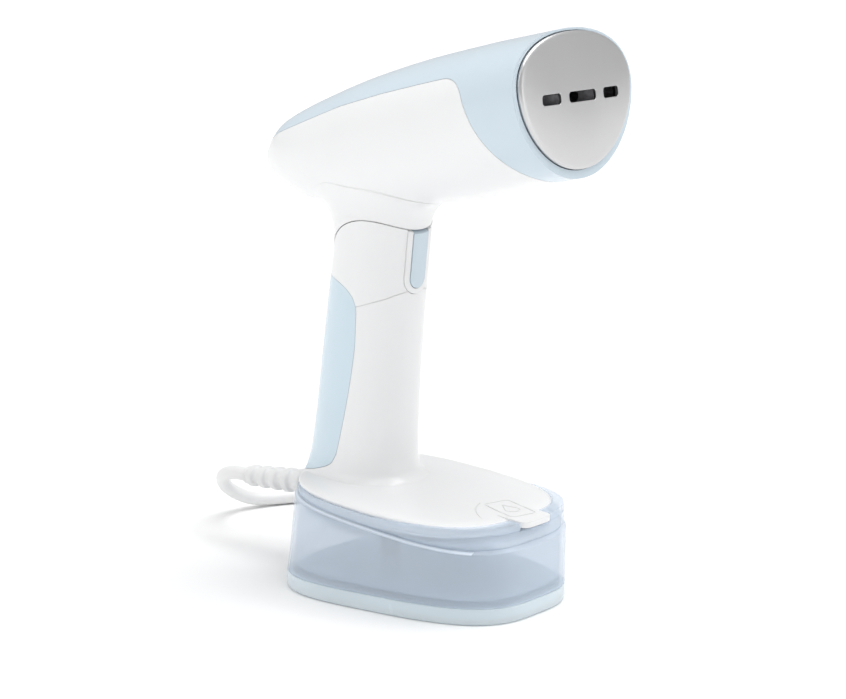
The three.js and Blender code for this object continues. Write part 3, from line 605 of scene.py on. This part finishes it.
# ------------------------------------------------------------ trigger and its frame
def face_plug(grow, x0, x1):
    """The trigger's upright outline pushed along X, leaning with the handle."""
    lean = 0.125
    half = TRIGGER["half"] + grow
    foot = TRIGGER["low"] - grow + half
    arc = [(half * math.cos(a), foot + half * math.sin(a)) for a in steps(-math.pi, 0, 32)]
    outline = [(-half, TRIGGER["high"] + grow), *arc, (half, TRIGGER["high"] + grow)]

    def place(y, z, x):
        return (x0 + x + lean * (z - TRIGGER["high"]), y, z)

    return prism(outline, place, 0, x1 - x0)


def sector(r0, r1, start, end, y0, y1):
    """A ring's part round the fold axle, between two angles from straight up."""
    def at(r, degrees):
        return (PIVOT[0] + r * math.sin(degrees * RAD), PIVOT[1] + r * math.cos(degrees * RAD))

    outline = [at(r0, a) for a in steps(start, end, 40)] + [at(r1, a) for a in steps(end, start, 40)]
    return side_cut(outline, y0, y1)


# ------------------------------------------------------------ handset
def handset_outer():
    """The outside of the handle and the deck, as one solid."""
    return join(keep(round_top(handle_loft(0), DRUM), over_deck()), deck_top())


def handset_inner():
    """The hollow, which stays inside the deck's outline where the foot of the handle meets it."""
    return keep(round_top(handle_loft(WALL), DRUM - WALL), deck_loft((-17, WALL), (FAR, WALL)))


def parting_groove():
    """The fine diagonal line where the front of the grip meets its upper half."""
    line = [(-4, 142.6), (-6.2, 141.9), (-11.7, 139), (-21.9, 135.4), (-26, 134.2)]
    width = 0.22
    slab = side_cut([*line, *[(x, z - width) for x, z in reversed(line)]])
    return keep(slab, cut(handle_loft(-1), handle_loft(0.2)))


def deck_mark(outline):
    """A shallow line cut into the top of the deck, given as a closed outline of (x, y) points."""
    top = DECK["edge"] + DECK["rise"]
    return prism(outline, lambda x, y, d: (x, y, top + d + DECK["slope"] * x), -0.3, 3)


def ribbon(line, width):
    """The outline of a band of the given width along an open line of points."""
    left, right = [], []
    for i, p in enumerate(line):
        before, after = line[max(i - 1, 0)], line[min(i + 1, len(line) - 1)]
        along = Vector((after[0] - before[0], after[1] - before[1])).normalized()
        left.append((p[0] - along.y * width / 2, p[1] + along.x * width / 2))
        right.append((p[0] + along.y * width / 2, p[1] - along.x * width / 2))
    return left + right[::-1]


def deck_marks():
    """A generic water drop in a rounded frame, and a short curved line beside it."""
    half_x, half_y, corner, width = 11, 7.4, 2.5, 0.55
    middle_x, middle_y = 49.5, 2
    c, n = math.cos(-13 * RAD), math.sin(-13 * RAD)
    drop_radius = 3.8

    def on_deck(x, y):
        return (middle_x + x * c - y * n, middle_y + x * n + y * c)

    def frame_line(grow):
        hx, hy, r = half_x + grow, half_y + grow, corner + grow
        corners = [(hx - r, hy - r, 0), (r - hx, hy - r, 90),
                   (r - hx, r - hy, 180), (hx - r, r - hy, 270)]
        return [on_deck(x + r * math.cos(a * RAD), y + r * math.sin(a * RAD))
                for x, y, first in corners for a in steps(first, first + 90, 6)]

    def drop_line(r):
        x = 1.5
        round_part = [on_deck(x + r * math.cos(a * RAD), r * math.sin(a * RAD)) for a in steps(-120, 120, 20)]
        return [*round_part, on_deck(x - 2 * r, 0)]

    frame_cut = cut(deck_mark(frame_line(0)), deck_mark_room(frame_line(-width)))
    drop_cut = cut(deck_mark(drop_line(drop_radius)), deck_mark_room(drop_line(drop_radius - width)))
    arc = bezier((35.4, -2.3), (39, -14), (50, -18.8), 16)
    return frame_cut, drop_cut, deck_mark(ribbon(arc, width))


def deck_mark_room(outline):
    return prism(outline, lambda x, y, d: (x, y, d), 30, 60)


def make_handset_shell():
    """The white moulding, open at the fold slot, the trigger, the rear cover and the lead's sleeve."""
    shell = cut(handset_outer(), handset_inner(), deck_hollow())
    shell = join(shell, deck_skirt(), tongue())
    slot_half = ARM["half"] + 0.7
    cut(shell, sector(18, 40, ARM["slot_back"], ARM["slot_front"], -slot_half, slot_half))
    cut(shell, face_plug(3, -16, 20), rear_region(0, 0), parting_groove(), *deck_marks())
    hole_z = RELIEF["z"] + RELIEF["hole_rise"]
    cut(shell, rod(RELIEF["hole"], (-90, 0, hole_z), (-40, 0, hole_z)))
    return piece(shell, "handset_skin", "handset", WHITE, "white_plastic", "handset_shell")


def make_rear_cover():
    shell = cut(handset_outer(), handset_inner(), deck_hollow())
    keep(shell, rear_region(SEAM, -SEAM), rear_region(SEAM, SEAM))
    return piece(shell, "rear_cover_skin", "handset", LIGHT_BLUE, "blue_plastic", "rear_cover")


def make_trigger_bezel():
    ring = cut(face_plug(2.86, -8, 20), face_plug(0.25, -30, 30))
    skin = cut(round_top(handle_loft(-0.5), DRUM - 0.4), round_top(handle_loft(WALL), DRUM - WALL))
    return piece(keep(ring, skin), "trigger_frame", "handset", WHITE, "white_plastic", "trigger_bezel")


def make_trigger():
    """The button, with the hole for its pin, the seat of its spring and the tail that meets the switch."""
    skin = cut(round_top(handle_loft(-0.9), DRUM - 0.8), handle_loft(3.2))
    button = keep(face_plug(0, -14, 20), skin)
    x, z = TRIGGER["pin"]
    cut(button, rod(1.4, (x, -FAR, z), (x, FAR, z)), rod(2.4, (x, 1.6, z), (x, 9, z)))
    tail = [(-8.5, 150), (-9.2, 150), (-10.1, 141), (-11.2, 129), (-9.9, 129), (-8.6, 141)]
    join(button, side_cut(tail, -2.4, 2.4))
    return piece(button, "trigger_button", "trigger", BLUE, "blue_plastic", "trigger")


# ------------------------------------------------------------ head shells
def stripe_region(forward, up):
    """The side view of the head's top stripe and front collar, moved by a seam's width."""
    edge = [(-FAR, 202), (-92, 203.4), (-79, 210.6), (-28, 228), (1, 236), (28, 242.6)]
    edge += bezier((40, 245.4), (50, 247.4), (54.6, 240), 16)
    edge += bezier((58, 233), (68, 210), (80, 201), 24)
    edge += [(84, 190), (FAR, 190), (FAR, FAR * 2), (-FAR, FAR * 2)]
    return side_cut([(x + forward, z + up) for x, z in edge])


def head_under(x, y):
    """The height of the head's underside over the point (x, y)."""
    c, n = math.cos(HEAD["pitch"]), math.sin(HEAD["pitch"])
    z = HEAD["z"] - 25
    for _ in range(12):
        s = x * c + (z - HEAD["z"]) * n
        middle = (head_top(s) + head_bottom(s)) / 2
        half = (head_top(s) - head_bottom(s)) / 2
        side = min(abs(y) / head_width(s), 0.999)
        low = middle - half * (1 - side ** HEAD["n"]) ** (1 / HEAD["n"])
        z = HEAD["z"] + s * n + low * c
    return z


def neck_fillet():
    """The neck from the fold joint up, flaring softly into the underside of the head all the way round."""
    sides, bend_steps, top = 128, 14, 162
    levels = steps(PIVOT[1] + GAP, top, 10)
    rings = [[Vector((neck_x(z) + pu, pv, z))
              for pu, pv in superellipse(neck_depth(z), neck_width(z), HANDLE_N, 0, sides)] for z in levels]
    columns = []
    for k, (pu, pv) in enumerate(superellipse(neck_depth(top), neck_width(top), HANDLE_N, 0, sides)):
        out = Vector((pu, pv)).normalized()
        along = max(out.x, 0), max(-out.x, 0)
        reach = NECK_FLARE["side"] + NECK_FLARE["front"] * along[0] ** 2 + NECK_FLARE["rear"] * along[1] ** 2
        foot = Vector((neck_x(top) + pu, pv))
        short = 0.5
        far, near = foot + out * reach, foot + out * (reach - short)
        end = Vector((far.x, far.y, head_under(far.x, far.y)))
        before = head_under(near.x, near.y)
        corner = Vector((foot.x, foot.y, end.z + (before - end.z) * reach / short))
        start = Vector((foot.x, foot.y, corner.z - reach * NECK_FLARE["drop"]))
        bend = [Vector(p) for p in bezier(start, corner, end, bend_steps)]
        inside_head = Vector((far.x - out.x * 2, far.y - out.y * 2, end.z + 6))
        columns.append([*[ring[k] for ring in rings], *bend, inside_head])
    return columns


def column_loft(columns):
    """A closed solid through upright columns of points that stand in a ring."""
    sides, levels = len(columns), len(columns[0])
    points = [columns[k][r] for r in range(levels) for k in range(sides)]
    faces = []
    for r in range(levels - 1):
        for k in range(sides):
            a, b = r * sides + k, r * sides + (k + 1) % sides
            faces.append((a, b, b + sides, a + sides))
    faces += [tuple(reversed(range(sides))), tuple(range((levels - 1) * sides, levels * sides))]
    return solid(points, faces)


def make_head_casing():
    outside = join(head_outer(), column_loft(neck_fillet()))
    waist = 150
    hole = [level(z, neck_x(waist), neck_depth(waist) - WALL, neck_width(waist) - WALL, n=HANDLE_N)
            for z in (140, 200)]
    inside = join(head_inner(), loft(hole))
    shell = cut(outside, inside, pivot_disc(DRUM + GAP), stripe_region(0, 0))
    return piece(shell, "head_casing_skin", "head", WHITE, "white_plastic", "head_casing")


def make_head_cover():
    shell = keep(cut(head_outer(), head_inner()), stripe_region(SEAM, SEAM))
    return piece(shell, "head_cover_skin", "head", BLUE, "blue_plastic", "head_cover")


# ------------------------------------------------------------ steam plate
def slot_plug(y0, y1, d0, d1):
    """The room of one steam slot, with rounded corners, from d0 to d1 along the plate's axis."""
    half, corner = SLOTS["height"] / 2, SLOTS["corner"]
    centres = [(y1 - corner, half - corner, 0), (y0 + corner, half - corner, 90),
               (y0 + corner, corner - half, 180), (y1 - corner, corner - half, 270)]
    outline = [(y + corner * math.cos(a * RAD), v + corner * math.sin(a * RAD))
               for y, v, first in centres for a in steps(first, first + 90, 8)]
    return prism(outline, lambda y, v, d: plate_place(d, y, v + SLOTS["rise"]), d0, d1)


def make_steam_plate():
    """A thin domed plate with a rolled rim, a skirt that sits in the head, and three slots."""
    dome, skin, height = PLATE["dome"], PLATE["skin"], PLATE["height"]
    domed = [(dome * (1 - t * t) + 0.2, height * (1 - t)) for t in reversed(steps(0.02, 1, 24))]
    edge = smooth_line([(-3, 0.3), (-1.2, 0.02), (-0.4, 0.05), (0, 0.45)], 5)
    profile = [*edge, *[(d, max(inset, 0.8)) for d, inset in domed]]
    flange = plate_loft(*profile)
    skirt_inset = 2.6
    skirt = plate_loft((-8, skirt_inset), (-2.9, skirt_inset))
    inside = skirt_inset + skin
    hollow = [(-9, inside), (-0.9, inside), *[(d - skin, inset + inside) for d, inset in domed[4:-4]]]
    plate = cut(join(flange, skirt), plate_loft(*hollow))
    for y0, y1 in SLOTS["across"]:
        cut(plate, slot_plug(y0, y1, -3, 8))
    return piece(plate, "steam_plate_face", "head", STEEL_PLATE, "steel_plate", "steam_plate")


# ------------------------------------------------------------ tank
tank_slope = curve((20, 0), (TANK["ledge"], TANK["ledge_slope"]), (TANK["top"], DECK["slope"]))


def tank_station(z, inset):
    """The tank's outline at height z, which changes evenly from its foot to its rim."""
    rise = min(max((z - TANK["band"]) / (TANK["ledge"] - TANK["band"]), 0), 1)
    at = {key: FOOT[key] + (RIM[key] - FOOT[key]) * rise for key in FOOT}
    return level(z, at["x"], at["half"] - inset, at["width"] - inset, n=at["n"], taper=at["taper"],
                 slope=tank_slope(z))


def tank_loft(*profile):
    return loft([tank_station(z, inset) for z, inset in profile], 192)


def front_lip():
    """The raised rim that wraps the front corners of the deck."""
    near = TANK["step"] - 0.3
    rim = smooth_line([(TANK["ledge"] + 1.2, near), (44, near), (50, near + 0.6)], 4)
    outside = tank_loft(*rim)
    over = [(8, 45), (30, 45.6), (60, 45.4), (80, 44.4), (80, 80), (8, 80)]
    cut(outside, deck_loft((-15, -0.4), (15, -0.4)), side_cut(over))
    return keep(outside, box(8, 90, -FAR, FAR, TANK["top"] - 3, 60))


def make_tank_shell():
    """The clear wall with its ledge, the groove and collar over it, and the well at its rear."""
    floor, ledge, top = TANK["band"] + GAP, TANK["ledge"], TANK["top"]
    step, wall = TANK["step"], TANK["wall"]
    upright_wall = [(z, 0) for z in steps(14, ledge - 1.5, 14)]
    chamfer = [(ledge - 1.3, 0.08), (ledge - 0.1, step + 0.4), (ledge, step + 0.5)]
    groove = [(ledge + 0.1, step + 0.9), (ledge + 0.8, step + 0.9), (ledge + 0.9, step + 0.1)]
    collar = [(ledge + 1.2, step), (top - 0.8, step), (top, step + 0.3)]
    outer = tank_loft((floor, 0), *upright_wall, *chamfer, *groove, *collar)
    inner_foot = [(floor + wall + 4 * (1 - math.cos(a)), wall + 3 * (1 - math.sin(a)))
                  for a in steps(0.1, math.pi / 2, 6)]
    hollow = tank_loft(*inner_foot, *[(z, wall) for z in steps(18, 38, 6)], (top + 1, step + wall))
    cut(hollow, box(-80, WELL["front"], -WELL["half"], WELL["half"], WELL["low"], 60))
    room = deck_loft((-17, 2), (top - DECK["edge"], 2), (top - DECK["edge"] + 0.01, -9), (15, -9))
    keep(room, box(-FAR, FAR, -FAR, FAR, DECK["skirt_low"] - 1, FAR))
    well_half = WELL["half"] - WELL["wall"]
    well_room = box(-90, WELL["front"] - WELL["wall"], -well_half, well_half, WELL["low"] + WELL["wall"], 60)
    shell = cut(outer, hollow, room, well_room)
    join(shell, front_lip())
    cut(shell, box(50, 90, -10.6, 10.6, 41, 60))
    return piece(shell, "tank_wall", "tank", CLEAR, "clear_tank", "tank_shell")


def make_ledge_painted_highlight():
    """A painted highlight: a thin sheet in a lighter, more opaque copy of the tank's clear plastic, laid over
    the edge of the ledge along both sides.
    """
    ledge, step = TANK["ledge"], TANK["step"]
    strip = tank_loft((ledge - 1.7, 0.3), (ledge - 1.5, -0.12), (ledge - 0.15, step + 0.2),
                      (ledge, step + 0.4))
    cut(strip, tank_loft((ledge - 3, 0.5), (ledge - 1.4, 0.6), (ledge + 1, step + 0.8)))
    # the painted highlight stops at TANK["corner"], short of the front of the tank
    keep(strip, box(-FAR, TANK["corner"], -FAR, FAR, 0, FAR))
    return piece(strip, "tank_ledge_painted_highlight", "tank", PAINTED_LEDGE_HIGHLIGHT, "clear_tank")


def make_tank_base():
    """The paler band that the tank stands on."""
    top = TANK["band"]
    band = tank_loft((0, 1.5), (0.35, 0.8), (1, 0.3), (2.2, 0), (top - 0.5, 0), (top, 0.2))
    cut(band, tank_loft((2.2, 2.4), (top + 1, 2.2)))
    return piece(band, "tank_base_band", "tank", BAND, "blue_plastic", "tank_base")


# ------------------------------------------------------------ cord
CORD_ROUTE = [
    (RELIEF["back"] - GAP, 0, 33), (-126, 0.3, 32.6), (-134, 2, 30.6), (-142, 6.4, 26.8),
    (-148.6, 12.6, 21.4), (-153, 21, 15), (-154.6, 30.5, 9.4), (-153.6, 40, 5.4), (-150, 50, 3.9),
    (-144.6, 59.4, 3.7), (-139.2, 67.6, 3.7), (-134.6, 76, 3.7),
]


def cord_line():
    """The lead down to the floor, two layers of turns beside each other, and the rise into the plug."""
    d, layers, turns = CORD["d"], CORD["layers"], CORD["turns"]
    low = d / 2 + 0.2
    line = smooth_line(CORD_ROUTE, 4)
    start = math.atan2(CORD_ROUTE[-1][1] - CORD["y"], CORD_ROUTE[-1][0] - CORD["x"])

    def ease(t):
        t = min(max(t, 0), 1)
        return t * t * (3 - 2 * t)

    def at(angle, r, z):
        a = start - angle * RAD
        return (CORD["x"] + r * math.cos(a), CORD["y"] + r * math.sin(a), z)

    radii = [CORD["r"] + d * k for k in (1, 0, -1)]
    radii += list(reversed(radii))
    arrive = 50
    reach = math.dist(CORD_ROUTE[-1][:2], (CORD["x"], CORD["y"]))
    for angle in steps(6, arrive, 8):
        line.append(at(angle, reach + (radii[0] - reach) * ease(angle / arrive), low))
    last = turns * layers - 1
    for turn, radius in enumerate(radii):
        after = radii[min(turn + 1, last)]
        height = low + d * (turn // turns)
        rise = d if turn == turns - 1 else 0
        for angle in steps(0, 360, 60)[1:]:
            change = ease((angle - 240) / 120)
            line.append(at(arrive + 360 * turn + angle, radius + (after - radius) * change,
                           height + rise * change))
    end_x, end_y, end_z = PLUG_BACK
    end_radius = math.dist((end_x, end_y), (CORD["x"], CORD["y"]))
    turned = arrive + 360 * (last + 1)
    goal = start - math.atan2(end_y - CORD["y"], end_x - CORD["x"])
    way = (goal / RAD - turned) % 360
    top = low + d * (layers - 1)
    for t in steps(0, 1, 36)[1:]:
        radius = radii[-1] + (end_radius - radii[-1]) * ease((t - 0.15) / 0.85)
        line.append(at(turned + way * t, radius, top + (end_z - top) * ease(t * 1.3)))
    return line


def tube(line, radius, sides=16):
    """A round tube along a line of points, with flat ends."""
    points = [Vector(p) for p in line]
    side = Vector((0, 1, 0))
    rings = []
    for i, p in enumerate(points):
        along = (points[min(i + 1, len(points) - 1)] - points[max(i - 1, 0)]).normalized()
        side = (side - along * side.dot(along)).normalized()
        other = along.cross(side)
        rings += [tuple(p + (side * math.cos(a) + other * math.sin(a)) * radius)
                  for a in steps(0, 2 * math.pi, sides)[:-1]]
    faces = [tuple(reversed(range(sides))), tuple(range(len(rings) - sides, len(rings)))]
    for r in range(len(points) - 1):
        for k in range(sides):
            a, b = r * sides + k, r * sides + (k + 1) % sides
            faces.append((a, b, b + sides, a + sides))
    return solid(rings, faces)


def make_plug():
    """A moulded flat two-pin plug body with softly rounded edges."""
    length, width, height = PLUG["length"], PLUG["width"], PLUG["height"]
    half = bezier((-length / 2, 5), (-length / 2 + 2, width - 2), (length / 2 - 16, width), 12)
    half += [(length / 2, width)]
    outline = [(a, -b) for a, b in half] + list(reversed(half))
    turn = Matrix.Rotation(PLUG["turn"], 4, "Z")

    def place(a, b, d):
        p = turn @ Vector((a, b, d))
        return (p.x + PLUG["x"], p.y + PLUG["y"], p.z + PLUG["z"])

    body = prism(outline, place, -height, height)
    soften(body, 2.6, 5, 30)
    return piece(body, "plug_housing", "tank", SHEATH, "cord_sheath", "plug_body")


def soften(made, width, segments, angle):
    """Rounds the edges of a plain solid for good."""
    edges = made.modifiers.new("round", "BEVEL")
    edges.width = width * MM
    edges.segments = segments
    edges.limit_method = "ANGLE"
    edges.angle_limit = angle * RAD
    graph = bpy.context.evaluated_depsgraph_get()
    result = bpy.data.meshes.new_from_object(made.evaluated_get(graph))
    made.modifiers.remove(edges)
    made.data = result


def make_cord(plug):
    """The whole lead, as one tube that stays where it is."""
    line = cord_line()
    path = [tuple(c * MM for c in p) for p in line]
    length = sum(math.dist(a, b) for a, b in zip(path, path[1:]))
    print(f"cord length {length:.3f} m")
    cord = tube(line, CORD["d"] / 2)
    piece(cord, "cord", None, SHEATH, "cord_sheath", "cord_lead", "cord_coil", sharp=60)
    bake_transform(cord)
    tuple(path[0])


def make_strain_relief():
    """A ribbed, tapered sleeve that leaves the rear of the deck and droops a little."""
    back, front, drop = RELIEF["back"], RELIEF["front"], RELIEF["drop"]
    length, ribs, collar = front - back, 6, 3
    profile = [(0, 6.4), (0, 7), (collar - 0.4, 7), (collar, 6.6)]
    pitch = (length - collar - 3) / ribs
    for i in range(ribs):
        y, r = collar + pitch * i, 6.6 - 1.3 * i / ribs
        profile += [(y + 0.6, r - 1.3), (y + pitch * 0.34, r - 1.35), (y + pitch * 0.42, r - 0.9),
                    (y + pitch * 0.48, r - 0.25), (y + pitch * 0.56, r), (y + pitch * 0.84, r),
                    (y + pitch * 0.93, r - 0.25), (y + pitch, r - 0.9)]
    profile += [(length - 2.4, 3.9), (length - 1, 4.6), (length - 0.3, 4.3), (length, 3.7)]

    def place(along, a, b):
        x = front - along
        return (x, a, RELIEF["z"] + b - drop * along / length)

    sleeve = lathe(profile, place, 64)
    return piece(sleeve, "strain_relief_sleeve", "handset", FLEX, "white_flex", "strain_relief", sharp=50)


# ------------------------------------------------------------ the CAD's own pieces
FINISHES = {
    "white_plastic": WHITE, "blue_plastic": BLUE, "clear_tank": CLEAR, "white_flex": FLEX,
    "cord_sheath": SHEATH, "soft_rubber": RUBBER, "grey_plastic": GREY, "black_plastic": BLACK,
    "steel_plate": STEEL_PLATE, "steel_metal": STEEL, "cast_alloy": ALLOY, "brass_metal": BRASS,
    "copper_coil": COPPER, "green_board": BOARD,
}


def dress_cad_nodes():
    """Gives each CAD node the finish that its record's slot names."""
    slots = {part["node"]: part["material_slot"] for part in frame["record"]["subparts"]}
    for name, node in frame["nodes"].items():
        node.data.materials.clear()
        node.data.materials.append(FINISHES[slots[name]])
        for polygon in node.data.polygons:
            polygon.use_smooth = True
        node.data.set_sharp_from_angle(angle=40 * RAD)


# ------------------------------------------------------------ floor and light
def make_floor():
    """A wide, pale, matt floor."""
    size = 6
    data = bpy.data.meshes.new("floor")
    corners = [(-size, -size, 0), (size, -size, 0), (size, size, 0), (-size, size, 0)]
    data.from_pydata(corners, [], [(0, 1, 2, 3)])
    floor = new_object("floor", data)
    made, tree, shader = node_tree("pale_floor")
    colour = tint(tree, noise(tree, 3, 2), (0.87, 0.87, 0.87), (0.9, 0.9, 0.9))
    tree.links.new(colour, shader.inputs["Base Color"])
    shader.inputs["Roughness"].default_value = 0.9
    data.materials.append(made)


def area_light(name, place, target, size, power):
    """A soft rectangular light, in metres, turned towards its target."""
    data = bpy.data.lights.new(name, "AREA")
    data.shape = "RECTANGLE"
    data.size, data.size_y = size
    data.energy = power
    light = new_object(name, data)
    light.location = place
    light.rotation_mode = "QUATERNION"
    light.rotation_quaternion = (Vector(target) - Vector(place)).to_track_quat("-Z", "Y")


ROOM = {"left": 1.02, "middle": 0.56, "right": 0.66}


def make_world():
    """A soft pale room, brightest at its left, and darkest straight before and behind the object."""
    world = bpy.data.worlds.new("studio")
    world.use_nodes = True
    tree = world.node_tree
    where = tree.nodes.new("ShaderNodeTexCoord")
    side = tree.nodes.new("ShaderNodeVectorMath")
    side.operation = "DOT_PRODUCT"
    side.inputs[1].default_value = (math.cos(CAMERA["yaw"]), math.sin(CAMERA["yaw"]), 0)
    tree.links.new(where.outputs["Generated"], side.inputs[0])
    level_of = tree.nodes.new("ShaderNodeFloatCurve")
    levels = level_of.mapping.curves[0].points
    levels[0].location = (0, ROOM["left"])
    levels[1].location = (1, ROOM["right"])
    levels.new(0.5, ROOM["middle"])
    level_of.mapping.update()
    across = tree.nodes.new("ShaderNodeMapRange")
    across.inputs["From Min"].default_value = -1
    tree.links.new(side.outputs["Value"], across.inputs["Value"])
    tree.links.new(across.outputs["Result"], level_of.inputs["Value"])
    background = tree.nodes["Background"]
    background.inputs["Color"].default_value = (1, 1, 1, 1)
    tree.links.new(level_of.outputs["Value"], background.inputs["Strength"])
    bpy.context.scene.world = world


def make_light():
    make_world()
    bpy.context.scene.view_settings.view_transform = "Standard"
    overhead = bpy.data.lights.new("overhead", "SUN")
    overhead.energy = 2.15
    overhead.angle = 50 * RAD
    sun = new_object("overhead", overhead)
    sun.rotation_euler = (-10 * RAD, 16 * RAD, 0)
    area_light("key", (-0.5, -1.3, 1.1), (0, 0, 0.15), (0.9, 0.9), 3)
    area_light("window", (1.5, 0.45, 0.42), (0.09, 0, 0.22), (0.35, 0.8), 1)


make_camera()
make_cord(make_plug())
make_strain_relief()
dress_cad_nodes()
make_handset_shell()
make_rear_cover()
make_trigger_bezel()
make_trigger()
make_head_casing()
make_head_cover()
make_steam_plate()
make_tank_shell()
make_ledge_painted_highlight()
make_tank_base()
make_floor()
make_light()
